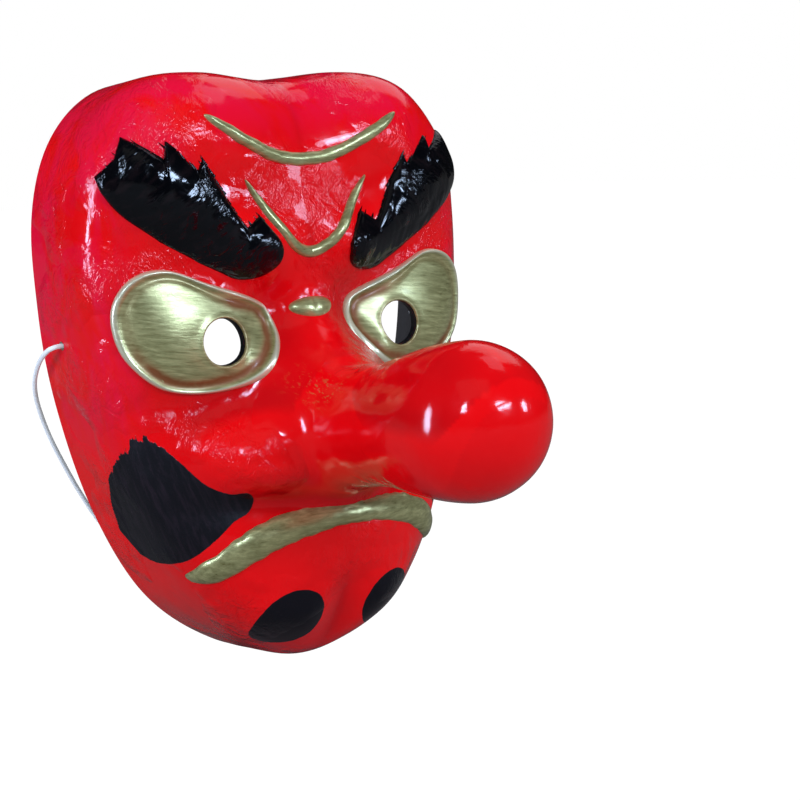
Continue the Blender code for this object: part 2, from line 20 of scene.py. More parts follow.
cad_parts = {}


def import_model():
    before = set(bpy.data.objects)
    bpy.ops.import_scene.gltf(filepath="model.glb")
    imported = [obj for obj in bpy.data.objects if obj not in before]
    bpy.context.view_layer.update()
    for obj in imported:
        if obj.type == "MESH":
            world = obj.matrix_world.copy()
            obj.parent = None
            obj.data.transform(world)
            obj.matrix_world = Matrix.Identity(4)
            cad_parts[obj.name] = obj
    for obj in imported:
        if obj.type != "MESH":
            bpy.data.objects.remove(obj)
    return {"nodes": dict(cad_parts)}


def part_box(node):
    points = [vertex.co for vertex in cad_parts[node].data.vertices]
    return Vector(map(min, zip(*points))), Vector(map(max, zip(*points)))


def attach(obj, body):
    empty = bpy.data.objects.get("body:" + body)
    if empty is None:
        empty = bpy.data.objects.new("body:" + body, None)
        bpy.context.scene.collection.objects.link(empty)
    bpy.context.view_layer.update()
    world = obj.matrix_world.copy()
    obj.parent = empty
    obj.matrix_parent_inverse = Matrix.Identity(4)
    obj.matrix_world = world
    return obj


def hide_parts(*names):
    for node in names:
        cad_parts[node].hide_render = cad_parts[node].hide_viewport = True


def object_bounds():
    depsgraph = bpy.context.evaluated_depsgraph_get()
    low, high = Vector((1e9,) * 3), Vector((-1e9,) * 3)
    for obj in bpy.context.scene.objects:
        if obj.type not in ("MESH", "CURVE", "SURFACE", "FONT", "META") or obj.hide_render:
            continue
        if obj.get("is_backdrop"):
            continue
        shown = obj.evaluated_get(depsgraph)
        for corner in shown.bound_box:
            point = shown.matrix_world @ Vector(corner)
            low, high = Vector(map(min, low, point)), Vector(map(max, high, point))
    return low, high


LOG = logging.getLogger("goblin_mask")
MM = 0.001
MERGE = 4e-6
SLIVER = 2e-6
TINY = 1e-12

Number = Union[float, "Wire"]
Colour = tuple[float, float, float]
Points = tuple[tuple[float, float], ...]
Array = np.ndarray


class Side(Enum):
    """The two sides of the face, with the sign of x on each."""

    LEFT = -1
    RIGHT = 1

    @property
    def word(self) -> str:
        """The side's name in a piece's name."""
        return self.name.lower()


class Slot(Enum):
    """The record's material slots."""

    LACQUER = "red_lacquer"
    PAPER = "pasted_paper"
    BLACK = "black_gloss"
    GOLD = "gold_paint"
    ELASTIC = "white_elastic"


# Shader arithmetic


@dataclass(frozen=True)
class Wire:
    """A number that a shader carries from one node to the next."""

    graph: "Graph"
    socket: bpy.types.NodeSocket

    def __add__(self, other: Number) -> "Wire":
        """Adds."""
        return self.graph.maths("ADD", self, other)

    def __sub__(self, other: Number) -> "Wire":
        """Subtracts."""
        return self.graph.maths("SUBTRACT", self, other)

    def __rsub__(self, other: Number) -> "Wire":
        """Subtracts from a plain number."""
        return self.graph.maths("SUBTRACT", other, self)

    def __mul__(self, other: Number) -> "Wire":
        """Multiplies."""
        return self.graph.maths("MULTIPLY", self, other)

    def __truediv__(self, other: Number) -> "Wire":
        """Divides."""
        return self.graph.maths("DIVIDE", self, other)

    __radd__ = __add__
    __rmul__ = __mul__

    def above(self, edge: float, softness: float) -> "Wire":
        """0 below the edge and 1 above it, with a ramp of the given softness."""
        return self.graph.maths("ADD", (self - edge) / softness, 0.5, clamp=True)


@dataclass(frozen=True)
class Grain:
    """A noise with its waves a metre along each axis, on coordinates turned by degrees first."""

    waves: Sequence[float]
    turn: Sequence[float] = (0, 0, 0)
    detail: float = 3
    rough: float = 0.5
    warp: float = 0


class Nodes:
    """A node tree, with the one method that adds a node of any type to it."""

    def __init__(self, tree: bpy.types.NodeTree) -> None:
        """Takes up a tree."""
        self.tree = tree

    def node(
        self, kind: str, settings: dict[str, object] | None = None, inputs: dict[object, object] | None = None
    ) -> bpy.types.Node:
        """Adds a node of any type.

        Args:
            kind: The node's type.
            settings: Its own settings, set before its sockets.
            inputs: Values or links for its sockets, by name or number.

        Returns:
            The node.
        """
        made = self.tree.nodes.new(kind)
        for key, value in (settings or {}).items():
            setattr(made, key, value)
        for key, value in (inputs or {}).items():
            self.feed(made.inputs[key], value)
        return made

    def feed(self, socket: bpy.types.NodeSocket, value: object) -> None:
        """Links or sets one socket."""
        source = value.socket if isinstance(value, Wire) else value
        if isinstance(source, bpy.types.NodeSocket):
            self.tree.links.new(source, socket)
        else:
            socket.default_value = source


def opaque(colour: object) -> object:
    """A colour with its alpha; a socket stays as it is."""
    return (*colour, 1) if isinstance(colour, tuple) else colour


class Graph(Nodes):
    """One material and the few node idioms that its finishes use."""

    def __init__(self, name: str) -> None:
        """Starts an empty Principled material.

        Args:
            name: The material's name.
        """
        self.material = bpy.data.materials.new(name)
        self.material.use_nodes = True
        super().__init__(self.material.node_tree)
        self.shader = self.tree.nodes["Principled BSDF"]
        self.place = self.node("ShaderNodeTexCoord").outputs["Object"]

    def maths(self, operation: str, *values: Number, clamp: bool = False) -> Wire:
        """A Math node on one to three values."""
        settings = {"operation": operation, "use_clamp": clamp}
        return Wire(self, self.node("ShaderNodeMath", settings, dict(enumerate(values))).outputs[0])

    def attribute(self, name: str) -> Wire:
        """A number stored on the mesh."""
        return Wire(self, self.node("ShaderNodeAttribute", {"attribute_name": name}).outputs["Fac"])

    def stretched(self, waves: Sequence[float], turn: Sequence[float]) -> bpy.types.NodeSocket:
        """Object coordinates turned, in degrees, and then scaled."""
        place, angles = self.place, [math.radians(angle) for angle in turn]
        for key, value in (("Rotation", angles), ("Scale", waves)):
            inputs = {"Vector": place, key: value}
            place = self.node("ShaderNodeMapping", {"vector_type": "POINT"}, inputs).outputs[0]
        return place

    def noise(
        self, scale: float, detail: float = 3, rough: float = 0.5, where: object = None, warp: float = 0
    ) -> Wire:
        """Smooth noise from 0 to 1.

        Args:
            scale: Waves for each metre, or for each unit of where.
            detail: Octaves.
            rough: How strong the finer octaves are.
            where: Coordinates, or None for Object coordinates.
            warp: How far the noise distorts itself.

        Returns:
            The noise's value.
        """
        inputs = {"Vector": where or self.place, "Scale": scale, "Detail": detail, "Roughness": rough}
        made = self.node("ShaderNodeTexNoise", None, {**inputs, "Distortion": warp})
        return Wire(self, made.outputs["Fac"])

    def grain(self, grain: Grain) -> Wire:
        """Noise with a different scale along each turned axis."""
        return self.noise(1, grain.detail, grain.rough, self.stretched(grain.waves, grain.turn), grain.warp)

    def ridges(self, value: Wire) -> Wire:
        """1 where a value from 0 to 1 is at its middle, and less on both sides."""
        return 1 - self.maths("ABSOLUTE", value * 2 - 1)

    def cells(self, scale: float, where: object = None) -> Wire:
        """Distance from the nearest centre of a pattern of cells."""
        inputs = {"Vector": where or self.place, "Scale": scale}
        return Wire(self, self.node("ShaderNodeTexVoronoi", {"feature": "F1"}, inputs).outputs["Distance"])

    def blend(self, factor: Number, first: object, second: object) -> bpy.types.NodeSocket:
        """A colour between two."""
        inputs = {0: factor, 6: opaque(first), 7: opaque(second)}
        return self.node("ShaderNodeMix", {"data_type": "RGBA", "clamp_factor": True}, inputs).outputs[2]

    def tones(self, value: Wire, stops: Sequence[tuple[float, Sequence[float]]]) -> bpy.types.NodeSocket:
        """A colour ramp.

        Args:
            value: Where on the ramp.
            stops: Each stop's place and colour.

        Returns:
            The colour.
        """
        made = self.node("ShaderNodeValToRGB", None, {0: value})
        elements = made.color_ramp.elements
        while len(elements) < len(stops):
            elements.new(0.5)
        for element, (at, colour) in zip(elements, stops):
            element.position = at
            element.color = (*colour, 1)
        return made.outputs[0]

    def bump(
        self, height: Wire, depth: float, under: bpy.types.NodeSocket | None = None
    ) -> bpy.types.NodeSocket:
        """A bump of the given depth in metres, on top of another normal if there is one."""
        inputs = {"Height": height, "Distance": depth, "Strength": 1.0}
        if under is not None:
            inputs["Normal"] = under
        return self.node("ShaderNodeBump", None, inputs).outputs[0]

    def dress(
        self, colour: object, roughness: object, normal: object = None, **constants: float
    ) -> bpy.types.Material:
        """Feeds the shader.

        Args:
            colour: The base colour.
            roughness: The roughness.
            normal: The normal, or None.
            constants: Fixed values for other sockets, with _ for a space in a socket's name.

        Returns:
            The material.
        """
        self.feed(self.shader.inputs["Base Color"], opaque(colour))
        self.feed(self.shader.inputs["Roughness"], roughness)
        if normal is not None:
            self.feed(self.shader.inputs["Normal"], normal)
        for key, value in constants.items():
            self.shader.inputs[key.replace("_", " ")].default_value = value
        return self.material


# Finishes


@dataclass(frozen=True)
class RedLacquer:
    """Glossy red lacquer over pasted paper, with black painted patches and painted shade in hollows where the
    mesh says.
    """

    bright: Colour = (0.72, 0.0008, 0.0028)
    # deep: the darker red of random patches and of the painted shade in hollows
    deep: Colour = (0.46, 0.0008, 0.0030)
    crimson: Colour = (0.66, 0.004, 0.050)
    scuff: Colour = (0.46, 0.085, 0.028)
    ink: Colour = (0.004, 0.0035, 0.006)
    dry_ink: Colour = (0.012, 0.007, 0.012)
    clouds: Grain = Grain((60, 60, 30), (0, 20, 0), 4, 0.6, 0.8)
    bristles: Grain = Grain((900, 500, 130), (0, 14, 0), 4, 0.6)
    streaks: Grain = Grain((520, 520, 60), (0, 24, 0), 4, 0.65)
    hairs: Grain = Grain((900, 420, 70), (0, 58, 12), 3, 0.6, 0.6)
    crumples: Grain = Grain((130, 110, 75), (0, 32, 8), 3, 0.55, 1.2)
    creases: Grain = Grain((210, 210, 620), (10, 62, 0), 2, 0.5, 0.9)
    roughness: float = 0.10
    ink_edge: float = 0.22 * MM
    feather: float = 3.2 * MM
    spot_wobble: float = 0.8 * MM
    paper_depth: float = 0.9 * MM
    pit_depth: float = 0.03 * MM
    coat: float = 0.18

    def material(self, name: str) -> bpy.types.Material:
        """Builds the finish.

        Args:
            name: The material's name.

        Returns:
            The material.
        """
        graph = Graph(name)
        # Painted shade: the red darkens in the face's hollows and lightens a little on its rises, on top of a
        # random tone.
        shade = (graph.noise(22, 3, 0.55) - 0.5) * 0.9 + graph.attribute("hollow") * 0.75 + 0.12
        red = graph.blend(shade, self.bright, self.deep)
        cool = graph.grain(self.clouds).above(0.48, 0.2)
        red = graph.blend(cool * graph.attribute("crimson"), red, self.crimson)

        frayed = (graph.grain(self.bristles) - 0.5) * self.feather * graph.attribute("feather")
        whisker_ink = 1 - (graph.attribute("whisker") + frayed).above(0, self.ink_edge)
        spot = graph.attribute("spot") + (graph.noise(220, 2) - 0.5) * self.spot_wobble
        inked = graph.maths("MAXIMUM", whisker_ink, 1 - spot.above(0, self.ink_edge))
        streaks = graph.grain(self.streaks)
        ink = graph.blend(streaks.above(0.56, 0.2) * whisker_ink, self.ink, self.dry_ink)
        hairs = graph.grain(self.hairs).above(0.60, 0.05)
        red = graph.blend(hairs * graph.attribute("scuff"), red, self.scuff)

        rough_paper = graph.noise(26, 3, 0.55).above(0.52, 0.12) * graph.attribute("rough")
        crumples = graph.ridges(graph.grain(self.crumples))
        creases = graph.ridges(graph.grain(self.creases))
        height = (crumples * 0.9 + creases * 0.34) * rough_paper
        height = height + graph.noise(46, 2, 0.4) * 1.3 + graph.noise(230, 2, 0.5) * 0.10
        height = height + streaks * whisker_ink * 0.10
        pits = graph.cells(900).above(0.10, 0.12)
        pitted = 1 - pits * graph.noise(70, 1).above(0.62, 0.1)
        normal = graph.bump(pitted, self.pit_depth, graph.bump(height, self.paper_depth))
        roughness = self.roughness + rough_paper * 0.05 + graph.noise(120, 2) * 0.05 + whisker_ink * 0.24
        graph.feed(graph.shader.inputs["Coat Weight"], self.coat - whisker_ink * 0.16)
        colour = graph.blend(inked, red, ink)
        return graph.dress(colour, roughness, normal, Specular_IOR_Level=0.32, Coat_Roughness=0.04)


@dataclass(frozen=True)
class BlackGloss:
    """Thick black paint, glossy, laid on with a stiff brush along the brow."""

    colour: Colour = (0.0012, 0.0014, 0.0022)
    brown: Colour = (0.006, 0.0035, 0.0045)
    roughness: float = 0.07
    depth: float = 0.6 * MM

    def material(self, name: str, lean: float) -> bpy.types.Material:
        """Builds the finish.

        Args:
            name: The material's name.
            lean: How far the brush marks lean from upright, in degrees.

        Returns:
            The material.
        """
        graph = Graph(name)
        strokes = graph.grain(Grain((430, 300, 70), (0, lean, 0), warp=0.7))
        crumples = graph.ridges(graph.grain(Grain((190, 160, 90), (0, lean, 0), 3, 0.55, 1.0)))
        patch = graph.noise(60, 2).above(0.52, 0.2)
        colour = graph.blend(strokes.above(0.6, 0.2), self.colour, self.brown)
        height = strokes * (patch * 0.35 + 0.03) + graph.noise(75, 2) * 1.1 + crumples * patch * 0.9
        roughness = self.roughness + patch * 0.05 + strokes * 0.05
        return graph.dress(colour, roughness, graph.bump(height, self.depth), Specular_IOR_Level=0.38)


@dataclass(frozen=True)
class GiltPaint:
    """Pale gold paint brushed on one way, brown where it lies thin over red in a groove, with painted shade
    that makes the brown stronger low down and towards the nose, and paler on the eye's lip as a painted
    highlight.
    """

    light: Colour = (0.60, 0.58, 0.27)
    middle: Colour = (0.405, 0.39, 0.17)
    dark: Colour = (0.21, 0.20, 0.07)
    # thin: brown where the gold lies thin over red, deepened by painted shade low down and near the nose
    thin: Colour = (0.22, 0.070, 0.018)
    # pale: the painted highlight along an eye's raised lip
    pale: Colour = (0.86, 0.80, 0.58)
    metal: float = 0.62
    depth: float = 0.1 * MM

    def material(self, name: str, waves: Sequence[float], turn: Sequence[float]) -> bpy.types.Material:
        """Builds the finish.

        Args:
            name: The material's name.
            waves: The brush marks' waves a metre along each turned axis.
            turn: How far the brush marks are turned, in degrees.

        Returns:
            The material.
        """
        graph = Graph(name)
        strokes = graph.grain(Grain(waves, turn, 5, 0.6, 0.4))
        fine = graph.grain(Grain([3 * value for value in waves], turn, 3, 0.6))
        mixed = strokes * 0.75 + fine * 0.25
        gold = graph.tones(mixed, [(0.30, self.dark), (0.5, self.middle), (0.68, self.light)])
        # The stored value is brown where the gold lies thin in the groove, made stronger by painted shade low
        # down and near the nose, and pale where it is negative, a painted highlight on the lip.
        thin_gold_shade_and_highlight = graph.attribute("thin_gold_shade_and_highlight")
        wear_and_shade = graph.maths("MAXIMUM", thin_gold_shade_and_highlight, 0.0) * (0.35 + graph.noise(160, 3) * 1.1)
        gold = graph.blend(thin_gold_shade_and_highlight * -0.75, gold, self.pale)
        colour = graph.blend(wear_and_shade, gold, self.thin)
        roughness = 0.22 + mixed * 0.16 + wear_and_shade * 0.18
        normal = graph.bump(strokes * 0.6 + fine * 0.25 + graph.noise(300, 2) * 0.3, self.depth)
        graph.feed(graph.shader.inputs["Metallic"], self.metal - wear_and_shade * 0.3)
        return graph.dress(colour, roughness, normal, Coat_Weight=0.3, Coat_Roughness=0.16)


@dataclass(frozen=True)
class InsidePaint:
    """Dark thin paint over torn strips of pasted paper, on the inside of the mask."""

    paint: Colour = (0.028, 0.022, 0.020)
    paper: Colour = (0.16, 0.125, 0.09)
    strips: tuple[Grain, ...] = (
        Grain((16, 9, 52), (0, 24, 0)), Grain((44, 9, 15), (0, -31, 0)), Grain((13, 9, 40), (0, 68, 0)),
    )  # fmt: skip
    fibres: Grain = Grain((700, 500, 120), (0, 33, 0), 5, 0.65, 1.5)
    depth: float = 0.7 * MM

    def material(self, name: str) -> bpy.types.Material:
        """Builds the finish.

        Args:
            name: The material's name.

        Returns:
            The material.
        """
        graph = Graph(name)
        fibres = graph.grain(self.fibres)
        places = [graph.stretched(strip.waves, strip.turn) for strip in self.strips]
        first, second, third = (graph.cells(1, place) for place in places)
        laps = graph.maths("MAXIMUM", graph.maths("MAXIMUM", first, second), third)
        bare = laps.above(0.80, 0.16) * fibres.above(0.48, 0.3)
        colour = graph.blend(bare * 0.5 + fibres * 0.10, self.paint, self.paper)
        normal = graph.bump(laps * 1.1 + fibres * 0.16 + graph.noise(60, 2) * 0.6, self.depth)
        return graph.dress(colour, 0.55 + fibres * 0.25, normal)


@dataclass(frozen=True)
class TrimmedPaper:
    """The cut edge of many pasted layers."""

    light: Colour = (0.52, 0.45, 0.34)
    dark: Colour = (0.30, 0.24, 0.17)
    layers: Grain = Grain((2600, 2600, 2600), (0, 0, 0), 4, 0.7)
    depth: float = 0.12 * MM

    def material(self, name: str) -> bpy.types.Material:
        """Builds the finish.

        Args:
            name: The material's name.

        Returns:
            The material.
        """
        graph = Graph(name)
        layers = graph.grain(self.layers)
        colour = graph.blend(layers.above(0.5, 0.5), self.light, self.dark)
        return graph.dress(colour, 0.8 + layers * 0.15, graph.bump(layers, self.depth))


@dataclass(frozen=True)
class HoleEdge:
    """Black paint round the inside of an eye hole."""

    colour: Colour = (0.006, 0.006, 0.008)
    wear_and_shade: Colour = (0.02, 0.016, 0.014)
    depth: float = 0.1 * MM

    def material(self, name: str) -> bpy.types.Material:
        """Builds the finish.

        Args:
            name: The material's name.

        Returns:
            The material.
        """
        graph = Graph(name)
        grain = graph.noise(900, 3)
        colour = graph.blend(grain.above(0.62, 0.2), self.colour, self.wear_and_shade)
        return graph.dress(colour, 0.4 + grain * 0.2, graph.bump(grain, self.depth))


@dataclass(frozen=True)
class WhiteElastic:
    """Braided white elastic thread."""

    colour: Colour = (0.84, 0.86, 0.87)
    shade: Colour = (0.55, 0.58, 0.62)
    depth: float = 0.06 * MM

    def material(self, name: str) -> bpy.types.Material:
        """Builds the finish.

        Args:
            name: The material's name.

        Returns:
            The material.
        """
        graph = Graph(name)
        fibre = graph.noise(4200, 3, 0.6)
        grime = graph.noise(60, 3).above(0.6, 0.3)
        colour = graph.blend(fibre * 0.35 + grime * 0.3, self.colour, self.shade)
        return graph.dress(colour, 0.6 + fibre * 0.2, graph.bump(fibre, self.depth), Sheen_Weight=0.3)


# The face surface


def smooth_curve(points: Array, steps: int) -> Array:
    """A smooth curve through points.

    Args:
        points: The points, two or more, with any number of coordinates each.
        steps: How many stretches lie between a point and the next.

    Returns:
        The curve's points. The first two and the last two points given set its end slopes.
    """
    knots = np.asarray(points, float)
    knots = np.vstack([2 * knots[0] - knots[1], knots, 2 * knots[-1] - knots[-2]])
    share = np.linspace(0, 1, steps, endpoint=False)[:, None]
    runs = []
    for before, start, end, after in zip(knots, knots[1:], knots[2:], knots[3:]):
        square = 2 * before - 5 * start + 4 * end - after
        cube = 3 * start - before - 3 * end + after
        runs.append(0.5 * (2 * start + (end - before) * share + square * share**2 + cube * share**3))
    return np.vstack([*runs, knots[-2:-1]])


def mirrored_curve(points: Sequence[Sequence[float]], steps: int) -> Array:
    """The whole of a symmetric curve, left to right, from its right half.

    Args:
        points: The right half, from the middle out.
        steps: How many stretches lie between a point and the next.

    Returns:
        The curve's points.
    """
    right = np.asarray(points, float)
    flip = np.ones(right.shape[1])
    flip[0] = -1
    return smooth_curve(np.vstack([right[:0:-1] * flip, right]), steps)


def ease(value: Array, start: float = 0, run: float = 1) -> Array:
    """A smooth step from 0 at the start to 1 a run later."""
    value = np.clip((value - start) / run, 0, 1)
    return value * value * (3 - 2 * value)


def bell(value: Array, centre: float, width: float) -> Array:
    """1 at the centre, falling away smoothly over the width on both sides."""
    return np.exp(-(((value - centre) / width) ** 2))


def dome(across: Array, power: float = 2) -> Array:
    """The height of a rounded back, 1 along its middle and 0 at -1 and 1; a higher power is flatter."""
    return np.sqrt(np.clip(1 - np.abs(across) ** power, 0, 1))


def rounded(distance: Array, radius: float) -> Array:
    """A rounded edge, from 0 at no distance to 1 at its radius."""
    return dome(1 - np.clip(distance / radius, 0, 1))


@dataclass(frozen=True)
class Moulding:
    """A soft ridge, or a hollow if its height is negative, at a distance from an edge."""

    height: float
    centre: float
    width: float

    def at(self, distance: Array) -> Array:
        """Its height at a distance."""
        return self.height * bell(distance, self.centre, self.width)


@dataclass(frozen=True)
class Rise:
    """A soft rise or hollow of the face, the same on both sides; millimetres."""

    x: float
    z: float
    half_width: float
    half_height: float
    height: float
    sharpness: float = 2

    def at(self, x: Array, z: Array) -> Array:
        """Its height at a place, in metres."""
        aside, up = np.abs(x) / MM - self.x, z / MM - self.z
        away = np.hypot(aside / self.half_width, up / self.half_height)
        return self.height * MM * np.exp(-0.5 * away**self.sharpness)


@dataclass(frozen=True)
class FaceSurface:
    """The front of the moulded face: a rim outline, a rounded shoulder and a front with rises on it."""

    width: float = 166 * MM
    height: float = 226 * MM
    depth: float = 47 * MM
    root_diameter: float = 44 * MM
    root_height: float = -8 * MM
    root_depth: float = 78 * MM
    root_flare: float = 8 * MM
    shoulder: float = 7.0
    draft_side: float = 0.035
    draft_tilt: float = 0.03
    crown_swell: float = 0.038
    crown_swell_aside: float = 0.32
    crown_swell_width: float = 0.14
    outline: Points = (
        (0.0, 0.514), (0.36, 0.518), (0.675, 0.498), (0.89, 0.425), (0.995, 0.31), (1.0, 0.16),
        (0.94, 0.0), (0.80, -0.177), (0.585, -0.328), (0.30, -0.424), (0.0, -0.469),
    )  # fmt: skip
    rises: tuple[Rise, ...] = (
        Rise(39, 99, 21, 14, 8), Rise(0, 82, 38, 20, 4), Rise(0, 57, 13, 13, 4), Rise(46, 26, 19, 15, 4.5, 3),
        Rise(17, 27, 8, 11, -4.5), Rise(52, 2, 20, 8, -4), Rise(0, 8, 12, 18, 7), Rise(0, -50, 46, 37, 26),
        Rise(27, -14, 18, 12, 11, 4), Rise(0, -34, 34, 5, -6),
        Rise(21, -79, 12, 11, 5), Rise(0, -80, 7, 14, -4),
    )  # fmt: skip
    brow_inner: tuple[float, float] = (20 * MM, 56 * MM)
    brow_outer: tuple[float, float] = (74 * MM, 86 * MM)
    brow_width: float = 8.5 * MM
    brow_heights: tuple[float, float] = (8 * MM, 2.5 * MM)
    outline_steps: int = 24
    solving_rounds: int = 40
    slope_step: float = 0.2 * MM

    def place(self, shares: Iterable[Sequence[float]]) -> Array:
        """Face shares as x and z in metres."""
        return np.asarray(list(shares), float) * (self.width / 2, self.height)

    def rim_radius(self, angle: Array) -> Array:
        """The rim's radius about the nose root.

        Args:
            angle: Angles about the root.

        Returns:
            One radius for each.
        """
        half = self.place(self.outline)
        mirror = half * (-1, 1)
        steps = self.outline_steps
        whole = smooth_curve(np.vstack([mirror[1], half, mirror[-2]]), steps)
        half = np.vstack([whole[steps:-steps], half[-1:]])
        rise = half[:, 1] - self.root_height
        angles, radii = np.arctan2(rise, half[:, 0])[::-1], np.hypot(half[:, 0], rise)[::-1]
        return np.interp(np.arcsin(np.sin(angle)), angles, radii)

    def draft(self, angle: Array) -> Array:
        """How much the wall closes in from the rim to the front.

        Args:
            angle: Angles about the root.

        Returns:
            One share of the radius for each.
        """
        aside = (np.abs(np.cos(angle)) - self.crown_swell_aside) / self.crown_swell_width
        boss = np.where(np.sin(angle) > 0, np.exp(-0.5 * aside**2), 0)
        return self.draft_side - self.draft_tilt * np.sin(angle) - self.crown_swell * boss

    def front_depth(self, x: Array, z: Array) -> Array:
        """How far the front stands before the rim plane, leaving out the shoulder.

        Args:
            x: Places across.
            z: Their heights.

        Returns:
            One distance for each.
        """
        start = np.array(self.brow_inner)
        run = np.array(self.brow_outer) - start
        across, up = np.abs(x) - start[0], z - start[1]
        along = np.clip((across * run[0] + up * run[1]) / run.dot(run), 0, 1)
        away = np.hypot(across - along * run[0], up - along * run[1])
        inner, outer = self.brow_heights
        ridge = np.exp(-0.5 * (away / self.brow_width) ** 2)
        depth = self.depth + (inner + (outer - inner) * along) * ridge
        for rise in self.rises:
            depth = depth + rise.at(x, z)
        from_root = np.maximum(np.hypot(x, z - self.root_height) - self.root_diameter / 2, 0)
        return depth + (self.root_depth - depth) * np.exp(-from_root / self.root_flare)

    def y(self, x: Array, z: Array) -> Array:
        """The surface over a place in the rim plane.

        Args:
            x: Places across.
            z: Their heights.

        Returns:
            The surface's y at each.
        """
        x, z = np.asarray(x, float), np.asarray(z, float)
        angle = np.arctan2(z - self.root_height, x)
        reach = np.hypot(x, z - self.root_height) / self.rim_radius(angle)
        draft = self.draft(angle)
        left = np.ones_like(reach)
        for _ in range(self.solving_rounds):
            out = np.clip(reach / (1 - draft * left), 0, 1)
            left = 0.5 * (left + (1 - out**self.shoulder) ** (1 / self.shoulder))
        return -left * self.front_depth(x, z)

    def outward(self, flat: Array) -> Array:
        """The surface's normals over places in the rim plane.

        Args:
            flat: The places, x and z.

        Returns:
            One unit normal for each.
        """
        x, z, step = flat[..., 0], flat[..., 1], self.slope_step
        slope_x = (self.y(x + step, z) - self.y(x - step, z)) / (2 * step)
        slope_z = (self.y(x, z + step) - self.y(x, z - step)) / (2 * step)
        normal = np.stack([slope_x, -np.ones_like(slope_x), slope_z], axis=-1)
        return normal / np.linalg.norm(normal, axis=-1, keepdims=True)

    def lifted(self, flat: Array, lift: Array | float) -> Array:
        """Points over places in the rim plane, lifted off the surface.

        Args:
            flat: The places, x and z.
            lift: How far each is lifted.

        Returns:
            The points.
        """
        flat = np.asarray(flat, float)
        surface = np.stack([flat[..., 0], self.y(flat[..., 0], flat[..., 1]), flat[..., 1]], axis=-1)
        return surface + np.asarray(lift)[..., None] * self.outward(flat)

    def pad(self, flat: Array, lift: Array, sunk: float) -> tuple[Array, Array]:
        """The top and the bottom of a raised piece, lifted off the surface and sunk in it."""
        return self.lifted(flat, lift), self.lifted(flat, np.full(lift.shape, -sunk))

    def rows(self, rings: int, columns: int) -> Array:
        """Rings of surface points from the rim in to the nose root.

        Args:
            rings: How many rings.
            columns: How many points in each.

        Returns:
            The points, ring by ring.
        """
        angles = np.linspace(0, 2 * math.pi, columns, endpoint=False)
        radius, draft = self.rim_radius(angles), self.draft(angles)
        root = self.root_diameter / 2 / (radius * (1 - draft))
        end = np.arctan2((1 - root**self.shoulder) ** (1 / self.shoulder), root)
        rows = []
        for share in np.linspace(0, 1, rings):
            turn = end * share
            norm = (np.cos(turn) ** self.shoulder + np.sin(turn) ** self.shoulder) ** (1 / self.shoulder)
            out, left = np.cos(turn) / norm, np.sin(turn) / norm
            reach = out * radius * (1 - draft * left)
            if share == 1:
                reach = np.full_like(angles, self.root_diameter / 2)
            x, z = reach * np.cos(angles), self.root_height + reach * np.sin(angles)
            rows.append(np.stack([x, -left * self.front_depth(x, z), z], axis=-1))
        return np.array(rows)


# Meshes


def grid_normals(points: Array) -> Array:
    """Unit normals of a grid whose columns wrap round, looking out of the face."""
    along = np.gradient(points, axis=0)
    around = np.roll(points, -1, axis=1) - np.roll(points, 1, axis=1)
    normal = np.cross(around, along)
    normal /= np.linalg.norm(normal, axis=-1, keepdims=True) + TINY
    return normal


class Solid:
    """Collects vertices and faces of one piece and makes its object."""

    def __init__(self, name: str) -> None:
        """Starts an empty piece."""
        self.name = name
        self.points: list[Array] = []
        self.faces: list[tuple[int, ...]] = []
        self.skins: list[int] = []
        self.count = 0

    def grid(self, points: Array, wrap: bool, skin: int, flip: bool = False) -> Array:
        """Adds a grid of points with its faces.

        Args:
            points: Rows and columns of points.
            wrap: Whether the columns close up.
            skin: The material's number.
            flip: Whether the faces look the other way.

        Returns:
            The points' numbers, as a grid.
        """
        numbers = np.arange(points.shape[0] * points.shape[1]).reshape(points.shape[:2]) + self.count
        self.points.append(points.reshape(-1, 3))
        self.count += numbers.size
        self.quads(numbers, wrap, skin, flip)
        return numbers

    def quads(self, numbers: Array, wrap: bool, skin: int, flip: bool = False) -> None:
        """Adds the faces between rows and columns of numbered points."""
        after = np.roll(numbers, -1, axis=1) if wrap else numbers[:, 1:]
        here = numbers if wrap else numbers[:, :-1]
        corners = np.stack([here[:-1], after[:-1], after[1:], here[1:]], axis=-1).reshape(-1, 4)
        if flip:
            corners = corners[:, ::-1]
        self.faces += [tuple(map(int, face)) for face in corners]
        self.skins += [skin] * len(corners)

    def slab(
        self, top: Array, bottom: Array, wrap: bool, skins: Sequence[int] = (0, 0, 0), pole: bool = False
    ) -> None:
        """Adds a closed solid between two grids.

        Args:
            top: The outer grid.
            bottom: The inner grid.
            wrap: Whether the columns close up.
            skins: Material numbers for the top, the bottom and the first row's edge.
            pole: Whether the last row is a single place, which needs no edge.
        """
        high = self.grid(top, wrap, skins[0])
        low = self.grid(bottom, wrap, skins[1], flip=True)
        self.quads(np.stack([low[0], high[0]]), wrap, skins[2])
        if not pole:
            self.quads(np.stack([high[-1], low[-1]]), wrap, skins[0])
        if not wrap:
            self.quads(np.stack([high[:, 0], low[:, 0]]), False, skins[0])
            self.quads(np.stack([low[:, -1], high[:, -1]]), False, skins[0])

    def make(self, materials: Sequence[bpy.types.Material], fold: float | None = None) -> bpy.types.Object:
        """Makes the object.

        Args:
            materials: Its materials, in the order of the skins.
            fold: The angle in degrees past which an edge is sharp, or None for a smooth piece.

        Returns:
            The object, at the origin.
        """
        mesh = bpy.data.meshes.new(self.name)
        mesh.from_pydata(np.vstack(self.points).tolist(), [], self.faces)
        for material in materials:
            mesh.materials.append(material)
        mesh.polygons.foreach_set("material_index", self.skins)
        obj = placed(self.name, mesh)
        tidy_mesh(obj, fold)
        return obj


def placed(name: str, data: bpy.types.ID) -> bpy.types.Object:
    """Puts a mesh, a light or a camera in the scene as an object."""
    obj = bpy.data.objects.new(name, data)
    bpy.context.scene.collection.objects.link(obj)
    return obj


